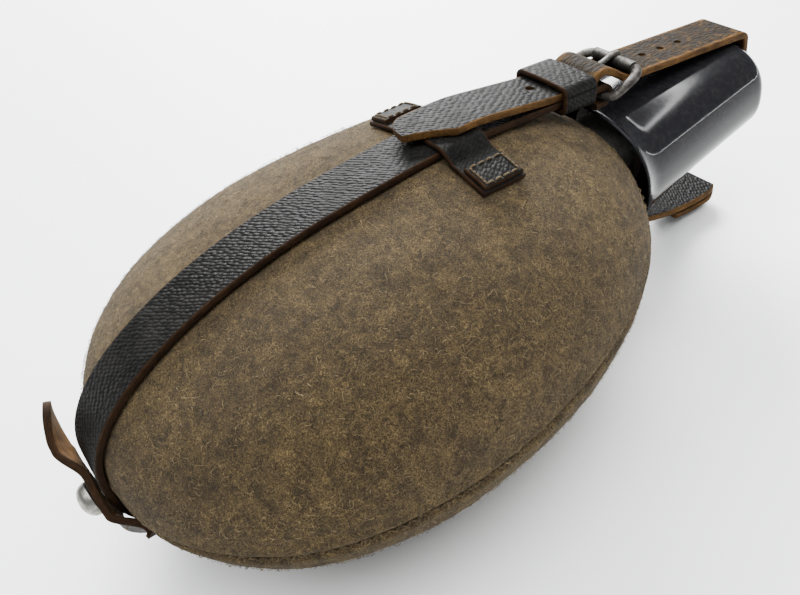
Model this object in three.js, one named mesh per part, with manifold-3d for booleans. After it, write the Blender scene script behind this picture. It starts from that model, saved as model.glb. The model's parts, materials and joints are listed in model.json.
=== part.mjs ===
// A felt-covered field canteen lying on its back, with a cup upside down over its neck and a leather
// strap buckled lengthwise round both.  Millimetres.  +Y runs from the base to the cup, +Z is the front
// of the canteen, and z = 0 is the flat run of strap that it rests on.
import * as THREE from 'three';
import { mergeVertices } from 'three/addons/utils/BufferGeometryUtils.js';
import Module from 'manifold-3d';

const wasm = await Module();
wasm.setup();

// ---- driving dimensions ----
const BODY_LENGTH = 190;
const BODY_WIDTH = 145;
const FRONT_DEPTH = 44.5;       // seam plane to the front of the felt
const BACK_DEPTH = 42.5;        // seam plane to the back of the felt
const WIDTH_POWER = 2.13;       // how square the outline is, seen from the front
const WIDTH_LEAN = -0.12;       // less than 0: widest towards the base
const DEPTH_POWER = 2.26;
const DEPTH_LEAN = 0.07;
const FELT = 4;
const METAL = 1.2;              // wall of the flask
const GAP = 0.3;                // between neighbours that touch
const NECK_RADIUS = 12.5;
const NECK_RISE = 6;            // the neck and the cup stand this much to the front of the seam plane
const NECK_TOP = 110;
const COLLAR_END = 88;          // where the felt stops round the neck
const CAP_RADIUS = 15.5;
const CAP_LENGTH = 16;
const LEATHER = 2.3;
const SINK = 0.8;               // how far the felt is pressed in where the canteen rests
const STRAP_WIDTH = 18.4;
const STRAP_SLOPE = 0.18;       // fall of the strap per mm from the buckle to the cup's end
const CUP_END = 156;
const CUP_MOUTH = [29.7, 21.5]; // half width and half height
const CUP_WAIST = [27, 19.6];   // the same just above the flare
const CUP_TOP = [20.6, 16.4];   // the same at the closed end
const CUP_FLARE = 8;            // length of the flare
const CUP_CORNER = 5;
const CUP_WALL = 0.8;
const LOOP_START = 27;          // y of the crosswise loop that holds the strap to the front
const LOOP_LENGTH = 15;
const LOOP_REACH = 28;          // half its width across the front
const LOOP_LEATHER = 1.7;
const KEEPER_START = 72.5;      // y of the sliding loop that holds the strap's end down
const KEEPER_LENGTH = 13;
const KEEPER_WALL = 1.7;
const WIRE = 1.4;               // radius of the buckle's wire
const BASE_BAR = 90.5;          // y of the buckle's two bars
const FRONT_BAR = 104;
const HUMP = 2.6;               // rise of the strap over the buckle's base bar
const HOLE_PITCH = 8.4;
const TIP_END = 21.5;           // y of the strap's free tip
const TIP_FOLD = 60;            // y of the line where the free end bends up
const TAB_WIDTH = 12;
const TAB_TILT = 0.68;          // radians, the tab's slant across the base
const TAB_TWIST = 0.6;          // radians, how far its free end has curled open
const TAB_FOLD = 9.5;           // distances along the tab from the centre line
const TAB_SEWN = 20.5;
const TAB_TIP = -27;
const STUD_PLACE = 3;
const STUD_RADIUS = 5.2;
const CARRY_FOLD = 68;          // y where the carrying loop leaves its sewn end, and of its far end
const CARRY_END = 150;
const CARRY_LIFT = 2.9;         // its folded end hangs this far above the ground

// ---- values worked out from them ----
const HALF_LENGTH = BODY_LENGTH / 2;
const HALF_STRAP = STRAP_WIDTH / 2;
const SEAM_Z = BACK_DEPTH + GAP + LEATHER - SINK;   // the back strap lies under the felt
const AXIS_Z = SEAM_Z + NECK_RISE;                  // axis of the neck, the cap and the cup
const CUP_START = COLLAR_END + GAP;
const LIE = GAP + LEATHER / 2;                      // from a face to the middle of leather laid on it
const LEAVE_FRONT = LOOP_START + LOOP_LENGTH + 2;   // y where the strap lifts off the front felt
const LEAVE_BACK = 62;                              // and off the back felt
const END_Y = CUP_END + LIE;                        // strap down the cup's end
const HIGH_BEND = 2.5;                              // radius of its two bends, and their z
const HIGH_FOLD = strapLine(CUP_END) - HIGH_BEND;
const LOW_BEND = CUP_CORNER + LIE;
const LOW_FOLD = AXIS_Z - CUP_TOP[1] + CUP_CORNER - 0.4;
const LOW_SPLIT = 132;            // y where the opened strap bends down, below the path of the cup
const FOLD_RADIUS = WIRE + 0.2 + LEATHER / 2;       // strap's middle line round the base bar
const BASE_BAR_Z = strapLine(BASE_BAR) - FOLD_RADIUS;
const FRONT_BAR_Z = strapLine(FRONT_BAR) + LIE + WIRE;
const RING_POINTS = 40;
const BODY_ROWS = 20;

// ---- shape of the body ----
// Bulge of an egg-like outline at u = -1 (base) to 1 (neck).
function bulge(u, power, lean) {
  const inside = Math.max(0, 1 - Math.abs(u) ** power);
  return inside ** (1 / power) * (1 + lean * u);
}

function widthShape(u) {
  return bulge(u, WIDTH_POWER, WIDTH_LEAN);
}

function depthShape(u) {
  return bulge(u, DEPTH_POWER, DEPTH_LEAN);
}

// The larger of two lengths, rounded over where they are nearly equal.
function softMax(a, b) {
  const round = 3;
  const overlap = Math.max(0, round - Math.abs(a - b));
  return Math.max(a, b) + overlap ** 2 / (4 * round);
}

// A cross-section square to Y; power 2 is an ellipse, more is squarer.
function oval(y, halfWidth, halfHeight, centreZ, power) {
  return { y, halfWidth, halfHeight, centreZ, power };
}

function circle(y, radius) {
  return oval(y, radius, radius, AXIS_Z, 2);
}

// Cross-section of a skin `inset` mm inside the felt's outer face.
// Past the shoulder it never gets smaller than the neck.
function bodySection(y, inset, neckRadius) {
  const u = y / (HALF_LENGTH - inset);
  let wide = (BODY_WIDTH / 2 - inset) * widthShape(u);
  let front = (FRONT_DEPTH - inset) * depthShape(u);
  let back = (BACK_DEPTH - inset) * depthShape(u);
  if (y > 0) {
    wide = softMax(wide, neckRadius);
    front = softMax(front, neckRadius + NECK_RISE);
    back = softMax(back, neckRadius - NECK_RISE);
  }
  return oval(y, wide, (front + back) / 2, SEAM_Z + (front - back) / 2, 2);
}

function ovalPoint(section, angle) {
  const bend = 2 / section.power;
  const across = Math.sign(Math.cos(angle)) * Math.abs(Math.cos(angle)) ** bend;
  const upward = Math.sign(Math.sin(angle)) * Math.abs(Math.sin(angle)) ** bend;
  const x = section.halfWidth * across;
  return new THREE.Vector3(x, section.y, section.centreZ + section.halfHeight * upward);
}

// Places along a skin from its base pole to `end`, closer together at the pole.
function bodyStations(inset, end) {
  const half = HALF_LENGTH - inset;
  const lastAngle = Math.acos(-end / half);
  const stations = [];
  for (let i = 0; i <= BODY_ROWS; i += 1) {
    stations.push(-half * Math.cos(lastAngle * i / BODY_ROWS));
  }
  return stations;
}

// The felt's face: top and bottom on the centre line, front at x, and base at x and z.
function feltTop(y) {
  return SEAM_Z + FRONT_DEPTH * depthShape(y / HALF_LENGTH);
}

function feltBottom(y) {
  return SEAM_Z - BACK_DEPTH * depthShape(y / HALF_LENGTH);
}

function feltFront(x, y) {
  const across = x / (BODY_WIDTH / 2 * widthShape(y / HALF_LENGTH));
  return SEAM_Z + FRONT_DEPTH * depthShape(y / HALF_LENGTH) * Math.sqrt(1 - across ** 2);
}

function feltBase(x, z) {
  let outside = -HALF_LENGTH;
  let inside = -HALF_LENGTH / 2;
  for (let i = 0; i < 30; i += 1) {
    const y = (outside + inside) / 2;
    const wide = BODY_WIDTH / 2 * widthShape(y / HALF_LENGTH);
    const deep = FRONT_DEPTH * depthShape(y / HALF_LENGTH);
    const isInside = (x / wide) ** 2 + ((z - SEAM_Z) / deep) ** 2 < 1;
    inside = isInside ? y : inside;
    outside = isInside ? outside : y;
  }
  return outside;
}

// ---- middle lines of the strap, as z at y ----
// From the buckle over the cup's end.
function strapLine(y) {
  const overCup = AXIS_Z + CUP_TOP[1] + 0.2 + LIE;
  return overCup + (CUP_END - y) * STRAP_SLOPE;
}

// From the back felt to the bend under the cup's end.
function underLine(y) {
  const start = feltBottom(LEAVE_BACK) - LIE;
  const slope = (LOW_FOLD - LOW_BEND - start) / (END_Y - LOW_BEND - LEAVE_BACK);
  return start + (y - LEAVE_BACK) * slope;
}

// From the front felt to the buckle.
function frontLine(y) {
  const start = feltTop(LEAVE_FRONT) + LIE;
  const slope = (strapLine(BASE_BAR) - start) / (BASE_BAR - LEAVE_FRONT);
  return start + (y - LEAVE_FRONT) * slope;
}

// The strap's end, lying on that.
function tailLine(y) {
  return frontLine(y) + (GAP + LEATHER) * 1.02;
}

// The same on top of the front loop.
function loopLine(y) {
  return feltTop(y) + 3 * GAP + LEATHER + LOOP_LEATHER + LEATHER / 2 + 0.1;
}

// The same between the keeper and the front loop.
function restLine(y) {
  const from = KEEPER_START - 1;
  const to = LOOP_START + LOOP_LENGTH + 1.5;
  const rise = loopLine(LOOP_START + LOOP_LENGTH) - tailLine(from);
  return tailLine(from) + rise * (from - y) / (from - to);
}

// ---- building solids ----
function signedVolume(triangles) {
  return triangles.reduce((sum, [a, b, c]) => sum + a.dot(b.clone().cross(c)) / 6, 0);
}

// Closed geometry from triangles of three points, turned to face outward.
function solidFrom(triangles) {
  const isReal = ([a, b, c]) => Math.min(a.distanceTo(b), b.distanceTo(c), a.distanceTo(c)) > 1e-6;
  const kept = triangles.filter(isReal);
  const outward = signedVolume(kept) > 0;
  const positions = kept.flatMap(([a, b, c]) => {
    const order = outward ? [a, b, c] : [a, c, b];
    return order.flatMap((point) => point.toArray());
  });
  const geometry = new THREE.BufferGeometry();
  geometry.setAttribute('position', new THREE.Float32BufferAttribute(positions, 3));
  return mergeVertices(geometry, 1e-4);
}

// Joins neighbouring rows of points into a skin.
function addSkin(triangles, rows) {
  for (let i = 0; i + 1 < rows.length; i += 1) {
    for (let j = 0; j + 1 < rows[i].length; j += 1) {
      const [a, b] = [rows[i][j], rows[i][j + 1]];
      const [c, d] = [rows[i + 1][j + 1], rows[i + 1][j]];
      triangles.push([a, b, c], [a, c, d]);
    }
  }
}

// A solid through closed ovals, from a first pole to a last one.
function ovalSolid(sections, points = RING_POINTS) {
  const rows = sections.map((section) => {
    const row = [];
    for (let j = 0; j <= points; j += 1) {
      row.push(ovalPoint(section, 2 * Math.PI * (j % points) / points));
    }
    return row;
  });
  const triangles = [];
  addSkin(triangles, rows);
  return solidFrom(triangles);
}

// A sheet between an outer and an inner grid of points, closed along all four edges.
function sheetSolid(outer, inner) {
  const triangles = [];
  addSkin(triangles, outer);
  addSkin(triangles, inner.map((row) => [...row].reverse()));
  addSkin(triangles, outer.map((row, i) => [row.at(-1), inner[i].at(-1)]));
  addSkin(triangles, outer.map((row, i) => [inner[i][0], row[0]]));
  addSkin(triangles, [outer.at(-1), inner.at(-1)]);
  addSkin(triangles, [inner[0], outer[0]]);
  return solidFrom(triangles);
}

// Moves a [y, z] path sideways, to its right as it is walked.
function offsetPath(path, distance) {
  return path.map(([y, z], i) => {
    const before = path[Math.max(0, i - 1)];
    const after = path[Math.min(path.length - 1, i + 1)];
    const along = new THREE.Vector2(after[0] - before[0], after[1] - before[1]).normalize();
    return [y + along.y * distance, z - along.x * distance];
  });
}

// Points on an arc in the YZ plane, angles in degrees from +Y towards +Z.
function arc(centreY, centreZ, radius, from, to, steps) {
  const points = [];
  for (let i = 0; i <= steps; i += 1) {
    const angle = THREE.MathUtils.degToRad(from + (to - from) * i / steps);
    points.push([centreY + radius * Math.cos(angle), centreZ + radius * Math.sin(angle)]);
  }
  return points;
}

// Extrudes a shape drawn in the YZ plane, half of `width` to each side of x = 0.
function acrossX(shape, width) {
  const geometry = new THREE.ExtrudeGeometry(shape, { depth: width, bevelEnabled: false });
  geometry.translate(0, 0, -width / 2);
  const [x, y, z] = [new THREE.Vector3(1, 0, 0), new THREE.Vector3(0, 1, 0), new THREE.Vector3(0, 0, 1)];
  return geometry.applyMatrix4(new THREE.Matrix4().makeBasis(y, z, x));
}

// A flat band along [y, z] points on its middle line.
function ribbon(path, thickness, width) {
  const face = (side) => offsetPath(path, side * thickness / 2).map(([y, z]) => (
    [new THREE.Vector3(-width / 2, y, z), new THREE.Vector3(width / 2, y, z)]));
  return sheetSolid(face(1), face(-1));
}

function box(width, length, height, x, y, z) {
  return new THREE.BoxGeometry(width, length, height).translate(x, y, z);
}

// A round bar between two points.
function bar(radius, from, to, sides = 12) {
  const axis = to.clone().sub(from);
  const geometry = new THREE.CylinderGeometry(radius, radius, axis.length(), sides);
  const upright = new THREE.Vector3(0, 1, 0);
  const turn = new THREE.Quaternion().setFromUnitVectors(upright, axis.clone().normalize());
  const middle = from.clone().add(to).multiplyScalar(0.5);
  return geometry.applyQuaternion(turn).translate(middle.x, middle.y, middle.z);
}

function toManifold(geometry) {
  const bare = geometry.clone();
  bare.deleteAttribute('normal');
  bare.deleteAttribute('uv');
  const merged = mergeVertices(bare, 1e-4);
  const vertProperties = new Float32Array(merged.attributes.position.array);
  const triVerts = new Uint32Array(merged.index.array);
  return new wasm.Manifold(new wasm.Mesh({ numProp: 3, vertProperties, triVerts }));
}

function fromManifold(manifold) {
  const mesh = manifold.getMesh();
  const geometry = new THREE.BufferGeometry();
  geometry.setAttribute('position', new THREE.BufferAttribute(new Float32Array(mesh.vertProperties), 3));
  geometry.setIndex(new THREE.BufferAttribute(new Uint32Array(mesh.triVerts), 1));
  return geometry;
}

function cut(geometry, ...tools) {
  const whole = toManifold(geometry);
  return fromManifold(tools.reduce((left, tool) => left.subtract(toManifold(tool)), whole));
}

function join(geometry, ...others) {
  const first = toManifold(geometry);
  return fromManifold(others.reduce((sum, other) => sum.add(toManifold(other)), first));
}

function common(geometry, other) {
  return fromManifold(toManifold(geometry).intersect(toManifold(other)));
}

// ---- the flask, its felt cover and its stopper ----
function flask() {
  const outer = FELT + 2 * GAP;
  const inner = outer + METAL;
  const bore = NECK_RADIUS - METAL;
  const outside = bodyStations(outer, COLLAR_END).map((y) => bodySection(y, outer, NECK_RADIUS));
  const inside = bodyStations(inner, COLLAR_END).map((y) => bodySection(y, inner, bore));
  const shoulder = COLLAR_END + 4;
  const neck = [circle(shoulder, NECK_RADIUS), circle(NECK_TOP, NECK_RADIUS)];
  const mouth = [circle(NECK_TOP, bore), circle(shoulder, bore)];
  return ovalSolid([...outside, ...neck, ...mouth, ...inside.reverse()]);
}

// Half of the felt cover: side 1 is the front, -1 the back.  It is one skin of felt from the seam
// at +X over to the seam at -X, open round the neck.
function feltHalf(side) {
  const columns = RING_POINTS / 2;
  const halfRing = (section) => {
    const row = [];
    for (let j = 0; j <= columns; j += 1) {
      const point = ovalPoint(section, side * Math.PI * j / columns);
      const isSeam = j === 0 || j === columns || section.halfWidth < 1e-6;
      point.z += isSeam ? side * GAP / 2 : 0;
      row.push(point);
    }
    return row;
  };
  const outer = bodyStations(0, COLLAR_END).map((y) => halfRing(bodySection(y, 0, NECK_RADIUS)));
  const inner = bodyStations(FELT, COLLAR_END).map((y) => (
    halfRing(bodySection(y, FELT, NECK_RADIUS + GAP))));
  return sheetSolid(outer, inner);
}

// The back felt is pressed flat where the strap under it rests.
function feltBack() {
  const depth = 10;
  const press = box(BODY_WIDTH, BODY_LENGTH, depth, 0, 0, LEATHER + GAP - depth / 2);
  return cut(feltHalf(-1), press);
}

function screwCap() {
  const start = NECK_TOP - CAP_LENGTH + 6;
  const end = start + CAP_LENGTH;
  const inside = NECK_RADIUS + GAP;
  const roof = end - 2.8;
  const profile = [
    [end, 0], [end, CAP_RADIUS - 1.2], [end - 1.2, CAP_RADIUS], [start, CAP_RADIUS],
    [start, inside], [roof, inside], [roof, 0],
  ];
  const blank = ovalSolid(profile.map(([y, radius]) => circle(y, radius)));
  const flutes = [];
  const fluteCount = 18;
  for (let i = 0; i < fluteCount; i += 1) {
    const angle = 2 * Math.PI * i / fluteCount;
    const x = (CAP_RADIUS + 0.4) * Math.cos(angle);
    const z = AXIS_Z + (CAP_RADIUS + 0.4) * Math.sin(angle);
    flutes.push(bar(1.1, new THREE.Vector3(x, start + 3, z), new THREE.Vector3(x, end + 1, z), 8));
  }
  return cut(blank, ...flutes);
}

function gasket() {
  const bottom = NECK_TOP + GAP;
  const top = bottom + 2.3;
  const radius = NECK_RADIUS - 0.2;
  return ovalSolid([circle(bottom, 0), circle(bottom, radius), circle(top, radius), circle(top, 0)]);
}

// Outer half width and half height of the cup at y.
function cupSize(y) {
  const flareEnd = CUP_START + CUP_FLARE;
  const along = (y - flareEnd) / (CUP_END - flareEnd);
  const flare = Math.max(0, (flareEnd - y) / CUP_FLARE) ** 2;
  return [0, 1].map((i) => {
    const straight = CUP_WAIST[i] + (CUP_TOP[i] - CUP_WAIST[i]) * along;
    return straight + (CUP_MOUTH[i] - CUP_WAIST[i]) * flare;
  });
}

function cupSections(inset) {
  const corner = CUP_CORNER - inset;
  const bend = CUP_END - CUP_CORNER;
  const sections = [oval(bend + corner, 0, 0, AXIS_Z, 2.4)];
  const steps = 4;
  for (let i = 0; i <= steps; i += 1) {
    const angle = Math.PI / 2 * i / steps;
    const y = bend + corner * Math.cos(angle);
    const pull = inset + corner * (1 - Math.sin(angle));
    const [wide, high] = cupSize(y);
    sections.push(oval(y, wide - pull, high - pull, AXIS_Z, 2.4));
  }
  const flareEnd = CUP_START + CUP_FLARE;
  [flareEnd, flareEnd - 3, flareEnd - 5.5, CUP_START].forEach((y) => {
    const [wide, high] = cupSize(y);
    sections.push(oval(y, wide - inset, high - inset, AXIS_Z, 2.4));
  });
  return sections;
}

function cup() {
  return ovalSolid([...cupSections(0), ...cupSections(CUP_WALL).reverse()]);
}

// ---- the lengthwise strap ----
// Sewn round the buckle's base bar, down the front, round the base, up the back and out under the cup
// until it would be in the cup's way.
function mainStrap() {
  const stations = bodyStations(0, COLLAR_END);
  const down = stations.filter((y) => y < LEAVE_FRONT - 2).reverse().map((y) => [y, feltTop(y)]);
  const back = stations.filter((y, i) => i > 0 && y < LEAVE_BACK - 2).map((y) => [y, feltBottom(y)]);
  const front = [LEAVE_FRONT, feltTop(LEAVE_FRONT)];
  const felt = [front, ...down, ...back, [LEAVE_BACK, feltBottom(LEAVE_BACK)]];
  const laid = offsetPath(felt, LIE).map(([y, z]) => [y, Math.max(z, LEATHER / 2)]);
  const fold = arc(BASE_BAR, BASE_BAR_Z, FOLD_RADIUS, -90, 80, 10);
  const hem = [BASE_BAR - 3.5, BASE_BAR_Z - FOLD_RADIUS + 0.3];
  const last = [LOW_SPLIT, underLine(LOW_SPLIT)];
  const whole = ribbon([hem, ...fold, ...laid, last], LEATHER, STRAP_WIDTH);
  const slot = box(5, 12, 14, 0, BASE_BAR + 1, BASE_BAR_Z);
  return cut(whole, slot);
}

// On under the cup, round its lower corner and up its closed end.
function strapEnd() {
  const start = [LOW_SPLIT + GAP, underLine(LOW_SPLIT + GAP)];
  const corner = arc(END_Y - LOW_BEND, LOW_FOLD, LOW_BEND, -68, 0, 6);
  return ribbon([start, ...corner, [END_Y, HIGH_FOLD - 2 * GAP]], LEATHER, STRAP_WIDTH);
}

// A punched hole through the strap at y.
function punch(y, z, radius) {
  const reach = LEATHER * 2;
  return bar(radius, new THREE.Vector3(0, y, z - reach), new THREE.Vector3(0, y, z + reach), 12);
}

// Over the cup, under the buckle's front bar, over its base bar and through the keeper.
function strapTop() {
  const shoulder = [[END_Y, HIGH_FOLD - GAP], ...arc(END_Y - HIGH_BEND, HIGH_FOLD, HIGH_BEND, 0, 80, 4)];
  const rise = [
    [FRONT_BAR + 3, strapLine(FRONT_BAR + 3)],
    [FRONT_BAR - 2.2, strapLine(FRONT_BAR - 2.2) - 0.2],
    [FRONT_BAR - 4.5, strapLine(FRONT_BAR - 4.5) + 1.1],
    [BASE_BAR + 4, tailLine(BASE_BAR + 4) + HUMP - 1],
    [BASE_BAR + 1, tailLine(BASE_BAR + 1) + HUMP],
    [BASE_BAR - 2, tailLine(BASE_BAR - 2) + HUMP - 0.8],
    [KEEPER_START + KEEPER_LENGTH + 0.6, tailLine(KEEPER_START + KEEPER_LENGTH + 0.6)],
    [KEEPER_START - 1, tailLine(KEEPER_START - 1)],
  ];
  const path = [...shoulder, ...rise, [TIP_FOLD + GAP, restLine(TIP_FOLD + GAP)]];
  const holes = [];
  for (let i = 0; i < 4; i += 1) {
    const y = FRONT_BAR + 4 + i * HOLE_PITCH;
    holes.push(punch(y, strapLine(y), 1.3));
  }
  const tailHole = punch(KEEPER_START - 3, tailLine(KEEPER_START - 3), 1.5);
  const prongHole = box(4, 5.8, 20, 0, BASE_BAR + 7, strapLine(BASE_BAR + 7));
  return cut(ribbon(path, LEATHER, STRAP_WIDTH), ...holes, tailHole, prongHole);
}

// The free end, lying on the front loop.  Its point is cut askew.
function strapTip() {
  const loopEnd = LOOP_START + LOOP_LENGTH;
  const path = [
    [TIP_FOLD, restLine(TIP_FOLD)],
    [loopEnd + 1.5, loopLine(loopEnd)],
    [LOOP_START, loopLine(LOOP_START)],
    [TIP_END, loopLine(LOOP_START) + 0.4],
  ];
  const plan = new THREE.Shape();
  plan.moveTo(-HALF_STRAP, TIP_FOLD + 1);
  plan.lineTo(-HALF_STRAP, TIP_END + 14);
  plan.quadraticCurveTo(-HALF_STRAP + 0.6, TIP_END + 4, -HALF_STRAP / 2, TIP_END + 1);
  plan.lineTo(-HALF_STRAP / 4, TIP_END + 0.2);
  plan.lineTo(HALF_STRAP - 0.8, TIP_END + 12.5);
  plan.quadraticCurveTo(HALF_STRAP, TIP_END + 13.5, HALF_STRAP, TIP_END + 15);
  plan.lineTo(HALF_STRAP, TIP_FOLD + 1);
  const stamp = new THREE.ExtrudeGeometry(plan, { depth: 2 * SEAM_Z, bevelEnabled: false });
  stamp.translate(0, 0, SEAM_Z);
  return common(ribbon(path, LEATHER, STRAP_WIDTH + 1), stamp);
}

// ---- what holds the strap ----
// A leather band sewn across the front felt, arched over the strap.
function frontLoop() {
  const bandHeight = (x, y) => {
    const overStrap = feltTop(y) + 2 * GAP + LEATHER + 0.05;
    const onFelt = feltFront(x, y) + GAP;
    const out = THREE.MathUtils.clamp((Math.abs(x) - HALF_STRAP - 0.8) / 4, 0, 1);
    return overStrap + (onFelt - overStrap) * out;
  };
  const steps = 16;
  const rows = (lift) => Array.from({ length: 6 }, (_, i) => {
    const y = LOOP_START + LOOP_LENGTH * i / 5;
    return Array.from({ length: 2 * steps + 1 }, (__, j) => {
      const x = LOOP_REACH * (j - steps) / steps;
      return new THREE.Vector3(x, y, bandHeight(x, y) + lift);
    });
  });
  return sheetSolid(rows(LOOP_LEATHER), rows(0));
}

// A rectangle with rounded corners about the origin.
function roundedRectangle(Path, width, height, radius) {
  const path = new Path();
  const [x, y] = [width / 2 - radius, height / 2 - radius];
  path.absarc(x, y, radius, 0, Math.PI / 2);
  path.absarc(-x, y, radius, Math.PI / 2, Math.PI);
  path.absarc(-x, -y, radius, Math.PI, 1.5 * Math.PI);
  path.absarc(x, -y, radius, 1.5 * Math.PI, 2 * Math.PI);
  path.closePath();
  return path;
}

// A band of leather round both layers of strap, lying along their slope.
function keeper() {
  const width = STRAP_WIDTH + 1.2;
  const height = 2 * LEATHER + 3.4 * GAP;
  const outline = roundedRectangle(
    THREE.Shape, width + 2 * KEEPER_WALL, height + 2 * KEEPER_WALL, 2.2);
  outline.holes.push(roundedRectangle(THREE.Path, width, height, 0.6));
  const geometry = new THREE.ExtrudeGeometry(outline, {
    depth: KEEPER_LENGTH, bevelEnabled: false, curveSegments: 5,
  });
  geometry.translate(0, 0, -KEEPER_LENGTH / 2).rotateX(Math.PI / 2);
  const middle = KEEPER_START + KEEPER_LENGTH / 2;
  const slope = frontLine(1) - frontLine(0);
  geometry.rotateX(Math.atan(slope));
  return geometry.translate(0, middle, frontLine(middle) + (GAP + LEATHER) / 2);
}

// A steel wire frame: a base bar in the strap's fold and a front bar over the strap's end.
function buckleFrame() {
  const reach = HALF_STRAP + 1.4 + WIRE;
  const corners = [
    new THREE.Vector3(reach, BASE_BAR, BASE_BAR_Z),
    new THREE.Vector3(reach, FRONT_BAR - 2.5, FRONT_BAR_Z - 0.6),
    new THREE.Vector3(reach - 2, FRONT_BAR, FRONT_BAR_Z),
    new THREE.Vector3(2 - reach, FRONT_BAR, FRONT_BAR_Z),
    new THREE.Vector3(-reach, FRONT_BAR - 2.5, FRONT_BAR_Z - 0.6),
    new THREE.Vector3(-reach, BASE_BAR, BASE_BAR_Z),
  ];
  const pieces = corners.flatMap((corner, i) => {
    const next = corners[(i + 1) % corners.length];
    const knuckle = new THREE.SphereGeometry(WIRE, 12, 8);
    return [bar(WIRE, corner, next), knuckle.translate(corner.x, corner.y, corner.z)];
  });
  return join(...pieces);
}

// A flat tongue with an eye round the base bar; its tip lies on the front bar.
function buckleProng() {
  const outer = WIRE + 1.5;
  const eye = new THREE.Shape();
  eye.absarc(BASE_BAR, BASE_BAR_Z, outer, 0, 2 * Math.PI);
  const hole = new THREE.Path();
  hole.absarc(BASE_BAR, BASE_BAR_Z, WIRE + GAP, 0, 2 * Math.PI);
  eye.holes.push(hole);
  const thickness = 1.6;
  const tipZ = FRONT_BAR_Z + WIRE + 0.15 + thickness / 2;
  const path = [
    [BASE_BAR + 1.6, BASE_BAR_Z + outer - thickness / 2],
    [FRONT_BAR - 4, tipZ - 0.7],
    [FRONT_BAR - 1, tipZ + 0.1],
    [FRONT_BAR + 1.6, tipZ - 0.1],
  ];
  return join(acrossX(eye, 3), ribbon(path, thickness, 2.4));
}

// ---- the tab across the base and its press stud ----
// A point on the tab `along` its length and `aside` from its middle, `lift` outside its inner face.
// It lies on the strap, bends down to the felt on one side of it and stands away on the other.
function tabPoint(along, aside, lift = 0) {
  const up = new THREE.Vector3(Math.sin(TAB_TILT), 0, Math.cos(TAB_TILT));
  const out = new THREE.Vector3(0, -1, 0);
  const point = new THREE.Vector3(Math.cos(TAB_TILT), 0, -Math.sin(TAB_TILT)).multiplyScalar(along);
  point.addScaledVector(up, aside);
  point.z += SEAM_Z;
  const strapEdge = HALF_STRAP + 1.2;
  const overStrap = feltBase(0, point.z) - 2 * GAP - LEATHER - 0.2;
  if (point.x > -strapEdge) {
    const ontoFelt = THREE.MathUtils.clamp((point.x - strapEdge) / 3.5, 0, 1);
    const onFelt = feltBase(point.x, point.z) - GAP;
    point.y = overStrap + (onFelt - overStrap) * ontoFelt;
  } else {
    point.y = overStrap + (point.x + strapEdge) * 0.12;
  }
  const curl = TAB_TWIST * THREE.MathUtils.smoothstep(-along, 2, 16);
  const fromEdge = aside + TAB_WIDTH / 2;
  point.addScaledVector(up, fromEdge * (Math.cos(curl) - 1)).addScaledVector(out, fromEdge * Math.sin(curl));
  return point.addScaledVector(out, lift * Math.cos(curl)).addScaledVector(up, -lift * Math.sin(curl));
}

function tabSheet(places, halfWidthAt) {
  const rows = (lift) => places.map((along) => (
    [-1, -0.5, 0, 0.5, 1].map((side) => tabPoint(along, side * halfWidthAt(along), lift))));
  return sheetSolid(rows(LEATHER), rows(0));
}

// The end that is sewn to the felt.
function tabPatch() {
  const places = [TAB_SEWN, 19, 17.5, 16, 15, 14, 13, 12, 11, TAB_FOLD + GAP];
  return tabSheet(places, () => TAB_WIDTH / 2);
}

// Outward direction of the tab's face at the stud.
function studAxis() {
  const along = tabPoint(STUD_PLACE + 1.5, 0).sub(tabPoint(STUD_PLACE - 1.5, 0));
  const aside = tabPoint(STUD_PLACE, 1).sub(tabPoint(STUD_PLACE, -1));
  return along.cross(aside).normalize();
}

function studPoint(height) {
  return tabPoint(STUD_PLACE, 0).addScaledVector(studAxis(), height);
}

// The end that bends away, with the hole for the stud's post.
function tabFlap() {
  const places = [];
  for (let along = TAB_FOLD; along > TAB_TIP + 5; along -= 1.5) {
    places.push(along);
  }
  const rounded = [TAB_TIP + 4.5, TAB_TIP + 2.5, TAB_TIP + 1, TAB_TIP];
  const halfWidthAt = (along) => {
    const nearTip = Math.max(0, (TAB_TIP + 5 - along) / 5);
    return TAB_WIDTH / 2 * Math.sqrt(Math.max(0.05, 1 - nearTip ** 2));
  };
  const hole = bar(3, studPoint(-4), studPoint(6), 16);
  return cut(tabSheet([...places, ...rounded], halfWidthAt), hole);
}

function turnedOn(profile, height) {
  const points = profile.map(([radius, up]) => new THREE.Vector2(radius, up));
  const geometry = new THREE.LatheGeometry(points, 28);
  const upright = new THREE.Vector3(0, 1, 0);
  const place = studPoint(height);
  geometry.applyQuaternion(new THREE.Quaternion().setFromUnitVectors(upright, studAxis()));
  return geometry.translate(place.x, place.y, place.z);
}

// The fixed half of the stud, riveted to the strap.
function studPost() {
  const top = LEATHER + 1.2;
  return turnedOn([[0, 0], [1.7, 0], [1.7, top - 1.2], [1.4, top], [0, top]], 0);
}

// The domed half, on the tab.
function studCap() {
  const dome = [
    [0, 1.4], [2.5, 1.4], [2.5, 0], [STUD_RADIUS, 0], [STUD_RADIUS, 0.8], [STUD_RADIUS * 0.9, 2.1],
    [STUD_RADIUS * 0.68, 3.2], [STUD_RADIUS * 0.35, 3.9], [0, 4.1],
  ];
  return turnedOn(dome, LEATHER + GAP);
}

// ---- the carrying loop at the back ----
// Middle line of leather laid against the outside of the lengthwise strap.
function carryLine(y) {
  const strap = y < LEAVE_BACK ? feltBottom(y) - LIE : underLine(y);
  return strap - (LEATHER + GAP) * 1.05;
}

// The end of the loop that is sewn to the strap.
function carryPatch() {
  const path = [CARRY_FOLD - 15, CARRY_FOLD - 11, CARRY_FOLD - 7, CARRY_FOLD - 4, CARRY_FOLD - GAP];
  return ribbon(path.map((y) => [y, carryLine(y)]), LEATHER, STRAP_WIDTH);
}

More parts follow.
